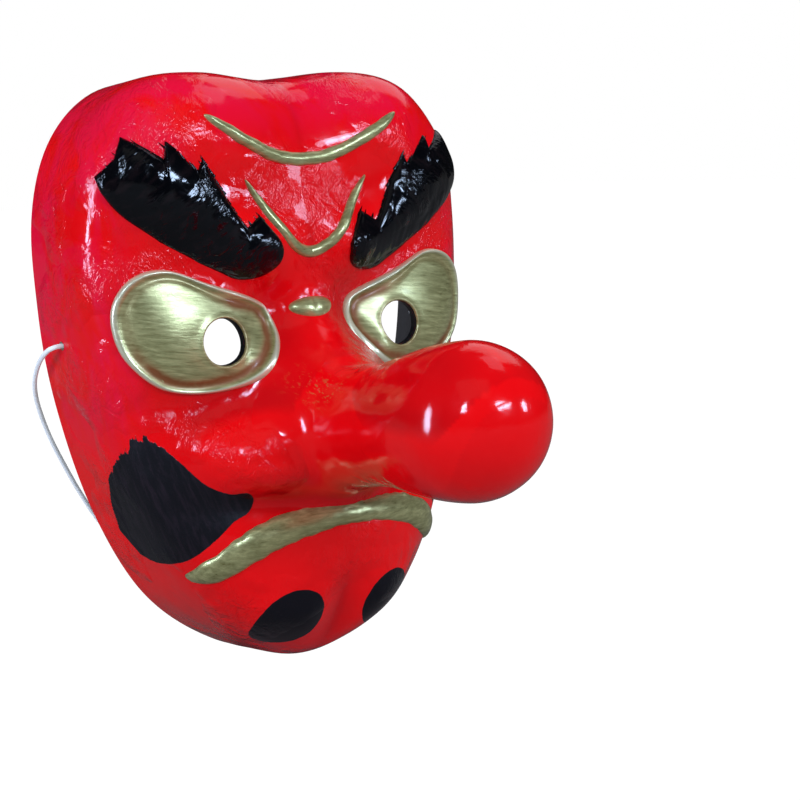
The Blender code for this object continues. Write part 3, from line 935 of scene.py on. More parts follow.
def tidy_mesh(obj: bpy.types.Object, fold: float | None) -> None:
    """Joins doubles, turns all faces outwards and sets smooth shading with sharp folds.

    Args:
        obj: The piece.
        fold: The angle in degrees past which an edge is sharp, or None for a smooth piece.
    """
    shape = bmesh.new()
    shape.from_mesh(obj.data)
    bmesh.ops.remove_doubles(shape, verts=shape.verts, dist=MERGE)
    bmesh.ops.dissolve_degenerate(shape, edges=shape.edges, dist=SLIVER)
    bmesh.ops.recalc_face_normals(shape, faces=shape.faces)
    for face in shape.faces:
        face.smooth = True
    for edge in shape.edges:
        flat = len(edge.link_faces) != 2 or fold is None
        edge.smooth = flat or edge.calc_face_angle(0) < math.radians(fold)
    shape.to_mesh(obj.data)
    shape.free()
    obj.data.update()


def store(obj: bpy.types.Object, name: str, values: Array) -> None:
    """Stores one number for each vertex."""
    layer = obj.data.attributes.new(name, "FLOAT", "POINT")
    layer.data.foreach_set("value", np.asarray(values, np.float32).ravel())


def vertices_of(obj: bpy.types.Object) -> Array:
    """The mesh's points."""
    flat = np.zeros(len(obj.data.vertices) * 3)
    obj.data.vertices.foreach_get("co", flat)
    return flat.reshape(-1, 3)


def bake_modifiers(obj: bpy.types.Object) -> None:
    """Turns an object's modifiers into its mesh."""
    evaluated = obj.evaluated_get(bpy.context.evaluated_depsgraph_get())
    made = bpy.data.meshes.new_from_object(evaluated)
    obj.modifiers.clear()
    old, obj.data = obj.data, made
    made.name = obj.name
    bpy.data.meshes.remove(old)


def rod(
    name: str, diameter: float, length: float, place: Matrix, material: bpy.types.Material
) -> bpy.types.Object:
    """A plain round rod that only cuts holes.

    Args:
        name: Its name.
        diameter: Its diameter.
        length: Its length.
        place: Where it lies.
        material: What the cut surface takes.

    Returns:
        The object.
    """
    mesh = bpy.data.meshes.new(name)
    shape = bmesh.new()
    size = {"radius1": diameter / 2, "radius2": diameter / 2, "depth": length}
    bmesh.ops.create_cone(shape, cap_ends=True, segments=72, matrix=place, **size)
    shape.to_mesh(mesh)
    shape.free()
    mesh.materials.append(material)
    return placed(name, mesh)


def uneven(points: Array, scale: float, depth: float, shift: float = 0) -> Array:
    """A smooth random height for each point, always the same.

    Args:
        points: The points, in a grid of any shape.
        scale: Waves for each unit.
        depth: The greatest height.
        shift: Moves the pattern, for one unlike another.

    Returns:
        One height for each point.
    """
    flat = points.reshape(-1, 3) * scale + shift
    heights = [noise.noise(Vector(place)) for place in flat]
    return depth * np.array(heights).reshape(points.shape[:-1])


def distance_to(flat: Array, outline: Array) -> Array:
    """Signed distance from places to a closed outline, negative inside.

    Args:
        flat: The places, x and z.
        outline: The corners of the outline.

    Returns:
        One distance for each place.
    """
    x, z = flat[:, 0], flat[:, 1]
    nearest = np.full(len(flat), np.inf)
    inside = np.zeros(len(flat), bool)
    for start, end in zip(outline, np.roll(outline, -1, axis=0)):
        run = end - start
        across, up = x - start[0], z - start[1]
        along = np.clip((across * run[0] + up * run[1]) / max(run.dot(run), TINY), 0, 1)
        away = np.hypot(across - along * run[0], up - along * run[1])
        nearest = np.minimum(nearest, away)
        crosses = (start[1] > z) != (end[1] > z)
        at = start[0] + up * run[0] / (run[1] or TINY)
        inside ^= crosses & (x < at)
    return np.where(inside, -nearest, nearest)


# The lacquered paper face and nose


@dataclass
class LacqueredHead:
    """The moulded face and the nose, whose lacquer runs over the joint without a seam."""

    surface: FaceSurface
    wall: float = 2.2 * MM
    nose_length: float = 91 * MM
    waist_diameter: float = 42.4 * MM
    bulb_diameter: float = 53 * MM
    rise_degrees: float = 8.0
    waist_share: float = 0.2
    lean_share: float = 0.3
    rings: int = 118
    columns: int = 288
    nose_rows: int = 66
    blend_rows: int = 5
    blend_passes: int = 30
    blend_strength: float = 1.2
    inner_passes: int = 3
    fold: float = 50
    even_rim: tuple[float, float] = (2, 12)
    even_tip: float = 6
    dents: tuple[tuple[float, float, float], ...] = ((38, 0.28 * MM, 0), (95, 0.09 * MM, 7))
    eye_spacing: float = 77 * MM
    eye_height: float = 24.1 * MM
    eye_hole: float = 16.4 * MM
    cord_hole: float = 3.2 * MM
    cord_setback: float = 15 * MM
    cord_height: float = 24 * MM
    cord_side: float = 0.7
    even_cord: tuple[float, float] = (12 * MM, 20 * MM)
    cord_pinch: Moulding = Moulding(0.0032, 42 * MM, 15 * MM)
    cord_pinch_depth: tuple[float, float] = (-12 * MM, 10 * MM)
    whisker: Points = (
        (70.8, -9.0), (69.4, -5.6), (68.3, -8.9), (66.9, -6.2), (65.6, -9.2), (63.7, -9.4), (58.1, -15.7),
        (50.8, -24.4), (43.0, -28.6), (37.5, -28.6), (34.6, -31.9), (36.5, -36.1), (42.5, -39.2),
        (50.2, -46.8), (55.2, -54.0), (57.4, -57.5), (59.6, -56.0), (62.9, -46.0), (68.0, -33.0),
        (72.4, -20.5),
    )  # fmt: skip
    whisker_back: Points = (
        (-58.0, -33.0), (-55.0, -21.0), (-46.0, -14.0), (-35.0, -17.0), (-24.4, -23.0),
        (-12.6, -37.0), (-9.0, -41.0),
    )  # fmt: skip
    scuffs: tuple[tuple[float, float, float, float], ...] = ((20, 8, 7, 6), (-14, 6, 6, 6), (8, 14, 8, 3))
    spot_centre: tuple[float, float] = (21.0, -77.6)
    spot_half: tuple[float, float] = (11.6, 12.0)
    shade_reach: float = 3 * MM
    shade_depth: float = 0.35 * MM
    nose: bpy.types.Object = field(init=False)
    face: bpy.types.Object = field(init=False)

    def nose_radius(self, along: Array) -> Array:
        """The nose's radius at distances along its axis.

        Args:
            along: Distances from the root.

        Returns:
            One radius for each.
        """
        root, waist = self.surface.root_diameter / 2, self.waist_diameter / 2
        bulb = self.bulb_diameter / 2
        swell = self.nose_length - bulb
        share = np.clip(along / swell, 0, 1)
        beyond = np.clip((share - self.waist_share) / (1 - self.waist_share), 0, 1)
        taper = 0.5 - 0.5 * np.cos(np.pi * beyond)
        narrow = waist + (root - waist) * np.maximum(0, 1 - share / self.waist_share)
        shaft = narrow + (bulb - waist) * taper
        ball = np.sqrt(np.maximum(bulb**2 - np.maximum(along - swell, 0) ** 2, 0))
        return np.where(along < swell, shaft, ball)

    def nose_grid(self) -> Array:
        """Rings of the nose from just before the root to the tip."""
        surface = self.surface
        angles = np.linspace(0, 2 * math.pi, self.columns, endpoint=False)
        rise = math.radians(self.rise_degrees)
        axis = np.array([0, -math.cos(rise), math.sin(rise)])
        up = np.array([0, math.sin(rise), math.cos(rise)])
        bulb = self.bulb_diameter / 2
        swell = self.nose_length - bulb
        shaft = swell * np.linspace(0, 1, self.nose_rows)[1:]
        ball = swell + bulb * np.sin(np.linspace(0, math.pi / 2, self.nose_rows // 2)[1:])
        rows = []
        for along in [*shaft, *ball]:
            radius = float(self.nose_radius(np.array(along)))
            upright = 1 - float(ease(np.array(along), 0, self.lean_share * swell))
            slide = radius * math.tan(rise) * np.sin(angles) * upright
            reach = along + slide
            width = np.full_like(angles, radius)
            if along < swell:
                width = self.nose_radius(np.maximum(reach, 0))
            rows.append(
                np.array([0, -surface.root_depth, surface.root_height])
                + reach[:, None] * axis
                + (width * np.cos(angles))[:, None] * np.array([1, 0, 0])
                + (width * np.sin(angles))[:, None] * up
            )
        return np.array(rows)

    def outer_grid(self) -> tuple[Array, int]:
        """The lacquer's surface from the rim to the nose tip, and the row at the joint."""
        whole = np.concatenate([self.surface.rows(self.rings, self.columns), self.nose_grid()])
        joint = self.rings - 1
        weight = np.exp(-0.5 * ((np.arange(len(whole)) - joint) / self.blend_rows) ** 2)[:, None, None]
        for _ in range(self.blend_passes):
            average = whole.copy()
            average[1:-1] = (whole[:-2] + 2 * whole[1:-1] + whole[2:]) / 4
            whole = whole + (average - whole) * np.clip(weight * self.blend_strength, 0, 1)
        return self.by_hand(whole), joint

    def by_hand(self, whole: Array) -> Array:
        """The surface with a hand's unevenness.

        Args:
            whole: The even surface, row by row.

        Returns:
            The surface, still even at the rim, the tip and the cord holes, and drawn in a little where the
            cord passes it.
        """
        rows = np.arange(len(whole))
        steady = ease(rows, *self.even_rim)[:, None]
        soft = ease(len(whole) - 1 - rows, 0, self.even_tip)[:, None]
        bumps = sum(uneven(whole, *dent) for dent in self.dents)
        from_cord = np.hypot(whole[..., 1] + self.cord_setback, whole[..., 2] - self.cord_height)
        aside = np.abs(whole[..., 0]) > self.cord_side * self.surface.width / 2
        bumps *= np.where(aside, ease(from_cord, *self.even_cord), 1)
        whole = whole + (bumps * steady * soft)[..., None] * grid_normals(whole)
        whole[..., 0] *= 1 - self.cord_pinch.at(whole[..., 2]) * ease(whole[..., 1], *self.cord_pinch_depth)
        return whole

    def build(
        self, lacquer: bpy.types.Material, inside: bpy.types.Material, edge: bpy.types.Material
    ) -> None:
        """Builds the face and the nose as two closed pieces that meet inside the wall.

        Args:
            lacquer: The outside's material.
            inside: The inside's material.
            edge: The cut edges' material.
        """
        outer, joint = self.outer_grid()
        normals = grid_normals(outer)
        normals[0, :, 1] = 0
        normals[0] /= np.linalg.norm(normals[0], axis=-1, keepdims=True)
        inner = outer - self.wall * normals
        inner[0, :, 1] = 0
        for _ in range(self.inner_passes):
            inner[1:-1] = (inner[:-2] + 2 * inner[1:-1] + inner[2:]) / 4
        materials = (lacquer, inside, edge)
        self.face = self.build_shell("moulded_face", outer[: joint + 1], inner[: joint + 1], materials)
        self.nose = self.build_shell("long_nose", outer[joint:], inner[joint:], materials, pole=True)
        self.cut_holes(edge)
        for obj in (self.face, self.nose):
            self.paint(obj)

    def build_shell(
        self,
        name: str,
        outer: Array,
        inner: Array,
        materials: Sequence[bpy.types.Material],
        pole: bool = False,
    ) -> bpy.types.Object:
        """A hollow piece with a trimmed edge.

        Args:
            name: The piece's name.
            outer: Its outer surface.
            inner: Its inner surface.
            materials: The outside's, the inside's and the trimmed edge's material.
            pole: Whether it closes at its last row.

        Returns:
            The object.
        """
        outer, inner = outer.copy(), inner.copy()
        if pole:
            outer[-1], inner[-1] = outer[-1].mean(axis=0), inner[-1].mean(axis=0)
        solid = Solid(name)
        solid.slab(outer, inner, True, (0, 1, 2), pole)
        return solid.make(materials, self.fold)

    def cut_holes(self, edge: bpy.types.Material) -> None:
        """Cuts the eye holes and the cord holes through the face.

        Args:
            edge: The cord holes' material.
        """
        black = HoleEdge().material("eye_hole_edge")
        cutters = []
        wide, deep = self.surface.width / 2, self.surface.depth
        kinds = (
            ("eye", self.eye_hole, deep, (self.eye_spacing / 2, -deep, self.eye_height), "X", black),
            ("cord", self.cord_hole, wide / 2, (wide, -self.cord_setback, self.cord_height), "Y", edge),
        )
        for side in Side:
            for what, diameter, length, (x, y, z), axis, skin in kinds:
                turn = Matrix.Translation((side.value * x, y, z)) @ Matrix.Rotation(math.pi / 2, 4, axis)
                cutters.append(rod(f"{what}_cutter_{side.word}", diameter, length, turn, skin))
        for cutter in cutters:
            cut = self.face.modifiers.new(cutter.name, "BOOLEAN")
            cut.operation = "DIFFERENCE"
            cut.solver = "EXACT"
            cut.material_mode = "TRANSFER"
            cut.object = cutter
        bake_modifiers(self.face)
        for cutter in cutters:
            bpy.data.objects.remove(cutter, do_unlink=True)
        tidy_mesh(self.face, self.fold)

    def paint(self, obj: bpy.types.Object) -> None:
        """Stores where the black paint lies, where the lacquer is scuffed or crimson, and the hollows where
        painted shade darkens the red.

        Args:
            obj: The face or the nose.
        """
        places, surface = vertices_of(obj), self.surface
        x, y, z = places.T
        flat = np.stack([np.abs(x), z], axis=-1)
        outline = smooth_curve(np.vstack([self.whisker, self.whisker[:1]]), 6)[:-1] * MM
        back = np.array(self.whisker_back) * MM
        behind = y - np.interp(z, back[:, 0], back[:, 1])
        store(obj, "whisker", np.maximum(distance_to(flat, outline), behind))
        store(obj, "feather", ease(flat[:, 0], 55 * MM, 12 * MM) * ease(z, -34 * MM, 14 * MM) + 0.12)
        away = (flat - np.array(self.spot_centre) * MM) / (np.array(self.spot_half) * MM)
        store(obj, "spot", (np.hypot(away[:, 0], away[:, 1]) - 1) * self.spot_half[1] * MM)
        store(obj, "rough", 1 - 0.85 * ease(-y, 100 * MM, 30 * MM))
        scuffs = [bell(x / MM, a, w) * bell(z / MM, b, h) for a, b, w, h in self.scuffs]
        store(obj, "scuff", np.sum(scuffs, axis=0) * ease(-y, 52 * MM, 8 * MM) * ease(y, -98 * MM, 12 * MM))
        rise = z - surface.root_height
        out = np.hypot(x, rise) / surface.rim_radius(np.arctan2(rise, x))
        store(obj, "crimson", ease(out, 0.76, 0.2) * ease(z, -30 * MM, 50 * MM) * 0.55)
        # Painted shade: stores how far the surface lies below its surroundings, so that the red darkens
        # there.
        steps = [(a * self.shade_reach, b * self.shade_reach) for a, b in ((1, 0), (-1, 0), (0, 1), (0, -1))]
        around = np.mean([surface.front_depth(x + a, z + b) for a, b in steps], axis=0)
        store(obj, "hollow", np.clip((around - surface.front_depth(x, z)) / self.shade_depth, -0.3, 1))


# Raised pieces


@dataclass(frozen=True)
class Brow:
    """A thick black brow with a torn upper edge, ridged by the brush."""

    surface: FaceSurface
    side: Side
    thickness: float = 2.4 * MM
    sunk: float = 0.45 * MM
    seat: float = 0.15 * MM
    ridge_waves: tuple[float, float] = (420, 90)
    ridge_height: float = 0.12 * MM
    rows: int = 44
    steps: int = 18
    lower: Points = (
        (0.185, 0.235), (0.195, 0.218), (0.235, 0.205), (0.30, 0.199), (0.37, 0.201), (0.44, 0.213),
        (0.53, 0.229), (0.57, 0.238), (0.69, 0.262), (0.72, 0.270), (0.83, 0.300), (0.885, 0.322),
        (0.915, 0.343),
    )  # fmt: skip
    upper: Points = (
        (0.18, 0.245), (0.20, 0.263), (0.265, 0.298), (0.345, 0.279), (0.385, 0.305), (0.45, 0.348),
        (0.52, 0.388), (0.545, 0.370), (0.67, 0.416), (0.685, 0.388), (0.82, 0.425), (0.86, 0.392),
        (0.925, 0.366),
    )  # fmt: skip

    def edges(self) -> tuple[Array, Array]:
        """Matching points of the lower and the upper edge, on the right side."""
        lower = smooth_curve(self.surface.place(self.lower), self.steps)
        corners = self.surface.place(self.upper)
        stations = np.linspace(0, len(corners) - 1, len(lower))
        upper = np.stack([np.interp(stations, range(len(corners)), corners[:, i]) for i in (0, 1)], axis=-1)
        return lower, upper

    def build(self, material: bpy.types.Material) -> bpy.types.Object:
        """Builds the brow over its CAD solid.

        Args:
            material: Its material.

        Returns:
            The object.
        """
        lower, upper = self.edges()
        share = 0.5 - 0.5 * np.cos(np.linspace(0, math.pi, self.rows))[:, None, None]
        flat = (lower[None] * (1 - share) + upper[None] * share) * (self.side.value, 1)
        across, along = 2 * share[:, :, 0] - 1, np.linspace(-1, 1, flat.shape[1])[None]
        crown = dome(across, 2.4) * dome(along, 14)
        seed = np.concatenate([flat * self.ridge_waves, np.zeros((*flat.shape[:2], 1))], axis=-1)
        ridges = uneven(seed, 1, self.ridge_height, 3 * self.side.value) * crown
        lift = self.seat + self.thickness * crown + ridges - self.sunk * (1 - crown)
        solid = Solid("black_brow_" + self.side.word)
        solid.slab(*self.surface.pad(flat, lift, 2 * self.sunk), False)
        return solid.make([material])


@dataclass(frozen=True)
class GiltEye:
    """A bulging gold eye in a raised lip, with a round hole to see through."""

    surface: FaceSurface
    side: Side
    spacing: float = 77 * MM
    height: float = 24.1 * MM
    hole: float = 16.4 * MM
    thickness: float = 1.25 * MM
    lip: Moulding = Moulding(0.85 * MM, 1.5 * MM, 1.1 * MM)
    groove: Moulding = Moulding(-0.42 * MM, 4.2 * MM, 1.6 * MM)
    hole_lip: Moulding = Moulding(0.35 * MM, 0, 1.6 * MM)
    brown_groove: Moulding = Moulding(1.15, 4.6 * MM, 2.3 * MM)
    brown_hole: Moulding = Moulding(0.5, 0, 1.2 * MM)
    # A painted highlight: the gold turns pale along the lip's crest.
    lip_highlight: Moulding = Moulding(-1.3, 1.0 * MM, 1.1 * MM)
    edge_radius: float = 1.2 * MM
    hole_radius: float = 0.6 * MM
    hole_height: float = 0.55
    crowding: float = 0.066
    rim_touch: float = 0.02 * MM
    sunk: float = 0.5 * MM
    fold: float = 60
    rows: int = 60
    steps: int = 16
    outline: Points = (
        (0.185, 0.105), (0.20, 0.145), (0.27, 0.168), (0.50, 0.198), (0.68, 0.223), (0.815, 0.216),
        (0.895, 0.185), (0.912, 0.14), (0.868, 0.087), (0.74, 0.043), (0.56, 0.028), (0.38, 0.036),
        (0.26, 0.062),
    )  # fmt: skip

    def build(self, gilt: bpy.types.Material, edge: bpy.types.Material) -> bpy.types.Object:
        """Builds the eye over its CAD solid.

        Args:
            gilt: The front's material.
            edge: The material of the hole's edge.

        Returns:
            The object.
        """
        closed = np.array([*self.outline[-1:], *self.outline, *self.outline[:2]])
        curve = smooth_curve(self.surface.place(closed), self.steps)
        loop = curve[self.steps : self.steps * (len(self.outline) + 1)]
        centre = np.array([self.spacing / 2, self.height])
        toward = loop - centre
        hole = centre + toward / np.linalg.norm(toward, axis=1, keepdims=True) * self.hole / 2
        span = np.linalg.norm(loop - hole, axis=1)[None]
        even = np.linspace(0, 1, self.rows)[:, None]
        share = even - self.crowding * np.sin(2 * math.pi * even)
        from_edge, from_hole = (1 - share) * span, share * span
        lift = self.thickness + self.lip.at(from_edge) + self.groove.at(from_edge)
        lift += self.hole_lip.at(from_hole)
        lift *= rounded(from_edge, self.edge_radius)
        lift *= self.hole_height + (1 - self.hole_height) * rounded(from_hole, self.hole_radius)
        flat = hole[None] * (1 - share[..., None]) + loop[None] * share[..., None]
        flat = flat * (self.side.value, 1)
        top, bottom = self.surface.pad(flat, lift - self.sunk * (from_edge < self.rim_touch), self.sunk)
        solid = Solid("gilt_eye_" + self.side.word)
        solid.slab(top, bottom, True, (0, 1, 1))
        obj = solid.make([gilt, edge], self.fold)
        store(obj, "thin_gold_shade_and_highlight", self.carried(obj, top, self.thin_gold_shade_and_highlight(flat, from_edge, from_hole)))
        return obj

    def thin_gold_shade_and_highlight(self, flat: Array, from_edge: Array, from_hole: Array) -> Array:
        """How brown the gold is in the groove and round the hole, where it lies thin and where painted shade
        deepens it, and how pale the painted highlight on the lip is.

        Args:
            flat: Places on the eye, in the rim plane.
            from_edge: How far each is from the eye's edge.
            from_hole: How far each is from the hole.

        Returns:
            1 for brown, made strongest low down and near the nose by painted shade, and -1 for the pale
            painted highlight on the lip.
        """
        brown = self.brown_groove.at(from_edge) + self.brown_hole.at(from_hole)
        # Painted shade: the brown grows low down and towards the nose.
        below = ease(self.height + 4 * MM - flat[..., 1], 0, 16 * MM)
        inward = ease(self.spacing / 2 + 8 * MM - np.abs(flat[..., 0]), 0, 18 * MM)
        brown = brown * np.clip(0.25 + 0.9 * np.maximum(below, inward * 0.9), 0, 1)
        return brown + self.lip_highlight.at(from_edge)

    def carried(self, obj: bpy.types.Object, grid: Array, values: Array) -> Array:
        """A grid's values on the mesh's vertices, which joining doubles has renumbered.

        Args:
            obj: The mesh's object.
            grid: The grid's points.
            values: One value for each of them.

        Returns:
            One value for each vertex, 0 where the grid has no point.
        """
        places = (grid.reshape(-1, 3), vertices_of(obj))
        keys, wanted = (np.round(points / SLIVER).astype(int) for points in places)
        table = {tuple(key): value for key, value in zip(keys, values.ravel())}
        return np.array([table.get(tuple(key), 0.0) for key in wanted])


@dataclass(frozen=True)
class GiltLine:
    """A raised gold line of changing width, the same on both sides."""

    surface: FaceSurface
    name: str
    spine: Points
    halves: tuple[float, ...]
    thickness: float
    sunk: float = 0.45 * MM
    rows: int = 15
    steps: int = 26

    def build(self, gilt: bpy.types.Material) -> bpy.types.Object:
        """Builds the line over its CAD solid.

        Args:
            gilt: Its material.

        Returns:
            The object.
        """
        middle = mirrored_curve(self.surface.place(self.spine), self.steps)
        widths = np.array(self.halves)[:, None] * MM
        widths = smooth_curve(np.vstack([widths[:0:-1], widths]), self.steps)[:, 0]
        run = np.gradient(middle, axis=0)
        run /= np.linalg.norm(run, axis=1, keepdims=True)
        sway = np.stack([middle[:, 0], middle[:, 1], np.zeros(len(middle))], axis=-1)
        upper = 1 + uneven(sway, 260, 0.16)
        lower = 1 + uneven(sway, 230, 0.12, 11)
        side = np.stack([-run[:, 1], run[:, 0]], axis=-1) * widths[:, None]
        tips = dome(np.linspace(-1, 1, len(middle)), 24)
        across = np.sin(np.linspace(-math.pi / 2, math.pi / 2, self.rows))[:, None]
        reach = np.where(across < 0, across * lower[None], across * upper[None]) * tips[None]
        flat = middle[None] + reach[..., None] * side[None]
        crown = dome(across) * tips[None]
        level = np.stack([flat[..., 0], flat[..., 1], crown * 0], axis=-1)
        lift = self.thickness * crown + uneven(level, 300, 0.1 * MM) * crown
        lift = lift - self.sunk * (1 - crown)
        solid = Solid(self.name)
        solid.slab(*self.surface.pad(flat, lift, 2 * self.sunk), False)
        obj = solid.make([gilt])
        store(obj, "thin_gold_shade_and_highlight", np.zeros(len(obj.data.vertices)))
        return obj


@dataclass(frozen=True)
class BridgeBead:
    """A small gold bead across the bridge of the nose."""

    surface: FaceSurface
    width: float = 19 * MM
    height: float = 7.4 * MM
    thickness: float = 2.4 * MM
    centre: float = 33.5 * MM
    sunk: float = 0.4 * MM
    crease: Moulding = Moulding(0.22, 0, 0.9 * MM)
    rows: int = 25
    columns: int = 49

    def build(self, gilt: bpy.types.Material) -> bpy.types.Object:
        """Builds the bead over its CAD solid.

        Args:
            gilt: Its material.

        Returns:
            The object.
        """
        turn = np.linspace(0, 2 * math.pi, self.columns, endpoint=False)[None]
        share = np.linspace(0, 1, self.rows)[::-1][:, None]
        x = share * np.cos(turn) * self.width / 2
        z = self.centre + share * np.sin(turn) * self.height / 2
        flat = np.stack([x, z], axis=-1)
        crown = dome(share) * np.ones_like(turn)
        crease = self.crease.at(x) * crown
        lift = self.thickness * (crown - crease) - self.sunk * (1 - crown)
        solid = Solid("gilt_bead")
        solid.slab(*self.surface.pad(flat, lift, 2 * self.sunk), True, pole=True)
        obj = solid.make([gilt])
        store(obj, "thin_gold_shade_and_highlight", np.zeros(len(obj.data.vertices)))
        return obj


# The head cord


def tube(name: str, path: Array, radius: Array, sides: int, material: bpy.types.Material) -> bpy.types.Object:
    """A closed tube along a path.

    Args:
        name: The piece's name.
        path: Points along its centre.
        radius: A radius for each point and side, or for each point.
        sides: How many sides it has.
        material: Its material.

    Returns:
        The object.
    """
    run = np.gradient(path, axis=0)
    run /= np.linalg.norm(run, axis=1, keepdims=True)
    side = np.cross(run[0], (0.0, 1.0, 0.1))
    sides_of = []
    for direction in run:
        side = side - direction * side.dot(direction)
        side /= np.linalg.norm(side)
        sides_of.append(side)
    first = np.array(sides_of)
    second = np.cross(run, first)
    turn = np.linspace(0, 2 * math.pi, sides, endpoint=False)
    radii = radius if np.ndim(radius) == 2 else np.asarray(radius)[:, None]
    wide = np.broadcast_to(radii, (len(path), sides))
    rings = path[:, None] + wide[..., None] * (
        np.cos(turn)[None, :, None] * first[:, None] + np.sin(turn)[None, :, None] * second[:, None]
    )
    solid = Solid(name)
    numbers = solid.grid(rings, True, 0)
    for row, flip in ((numbers[0], False), (numbers[-1], True)):
        face = tuple(map(int, row[::-1] if flip else row))
        solid.faces.append(face)
        solid.skins.append(0)
    return solid.make([material], 60)


@dataclass
class HeadCord:
    """White elastic from one cord hole behind the head to the other, knotted inside the wall."""

    diameter: float = 1.8 * MM
    knot_diameter: float = 5.6 * MM
    tail: float = 7 * MM
    tail_sunk: float = 0.4 * MM
    knot_scale: float = 0.62 * MM
    knot_entry: float = 0.5 * MM
    knot_squeeze: float = 0.94
    knot_passes: int = 8
    plait: float = 0.055
    plait_pitch: float = 4.4 * MM
    strands: int = 8
    sides: int = 32
    mesh_step: float = 0.33 * MM
    path_step: float = 1.2 * MM
    route: tuple[tuple[float, float, float], ...] = (
        (-0.0792, -0.0150, 0.0240), (-0.0818, -0.0150, 0.0240), (-0.0842, -0.0145, 0.0236),
        (-0.0857, -0.0120, 0.0222), (-0.0862, -0.0075, 0.0190), (-0.0856, -0.0018, 0.0142),
        (-0.0842, 0.0035, 0.0090), (-0.0820, 0.0078, 0.0028), (-0.0790, 0.0105, -0.0050),
        (-0.0752, 0.0122, -0.0140), (-0.0705, 0.0128, -0.0240), (-0.0648, 0.0128, -0.0355),
        (-0.0575, 0.0126, -0.0480), (-0.0475, 0.0124, -0.0605), (-0.0345, 0.0122, -0.0715),
        (-0.0185, 0.0121, -0.0790), (0.0, 0.0120, -0.0815),
    )  # fmt: skip

    def path(self, spacing: float) -> Array:
        """The whole route, left hole to right hole, with evenly spaced points.

        Args:
            spacing: How far apart the points are.

        Returns:
            The points.
        """
        left = np.array(self.route)
        curve = smooth_curve(np.vstack([left, left[-2::-1] * (-1, 1, 1)]), 40)
        run = np.concatenate([[0], np.cumsum(np.linalg.norm(np.diff(curve, axis=0), axis=1))])
        stops = np.linspace(0, run[-1], round(run[-1] / spacing) + 1)
        return np.stack([np.interp(stops, run, curve[:, i]) for i in range(3)], axis=-1)

    def build(self, material: bpy.types.Material) -> None:
        """Args:
            material: Their material.
        """
        path = self.path(self.mesh_step)
        length = float(np.linalg.norm(np.diff(path, axis=0), axis=1).sum())
        turn = np.linspace(0, 2 * math.pi, self.sides, endpoint=False)[None]
        lay = 2 * math.pi * np.linspace(0, length, len(path))[:, None] / self.plait_pitch
        weave = np.cos(self.strands / 2 * turn + lay * 2) * np.cos(self.strands / 2 * turn - lay * 2)
        radius = self.diameter / 2 * (1 - self.plait + self.plait * weave)
        cord = tube("elastic_cord", path, radius, self.sides, material)
        knots = [self.build_knot(side, material) for side in Side]
        for piece in (cord, *knots):
            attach(piece, "head_cord")
        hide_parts("cord_loop")
        LOG.info("elastic cord, %.3f m long", length)

    def build_knot(self, side: Side, material: bpy.types.Material) -> bpy.types.Object:
        """An overhand knot in the space of its CAD solid, with its cut end hanging.

        Args:
            side: Which end of the cord it is on.
            material: Its material.

        Returns:
            The object.
        """
        node = "cord_knot_" + side.word
        low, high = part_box(node)
        centre = np.array([(low.x + high.x) / 2, (low.y + high.y) / 2, high.z - self.knot_diameter / 2])
        turn, size = np.linspace(0.12 * math.pi, 2.02 * math.pi, 150), self.knot_scale
        across = size * (np.sin(turn) + 2 * np.sin(2 * turn))
        up = size * (np.cos(turn) - 2 * np.cos(2 * turn))
        loops = np.stack([0.95 * size * np.sin(3 * turn), across, up], axis=-1)
        inner = side.value * (self.knot_diameter / 2 + self.knot_entry)
        entry = np.linspace((inner, 0, 0), loops[0], 12)[:-1]
        leave = np.linspace(loops[-1], (0, 0, self.tail_sunk - self.tail), 24)[1:]
        path = np.vstack([entry, loops, leave])
        for _ in range(self.knot_passes):
            path[1:-1] = (path[:-2] + 2 * path[1:-1] + path[2:]) / 4
        radius = np.full(len(path), self.diameter / 2 * self.knot_squeeze)
        obj = tube("knot_" + side.word, centre + path, radius, 20, material)
        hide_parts(node)
        return obj


# Brush marks by Geometry Nodes


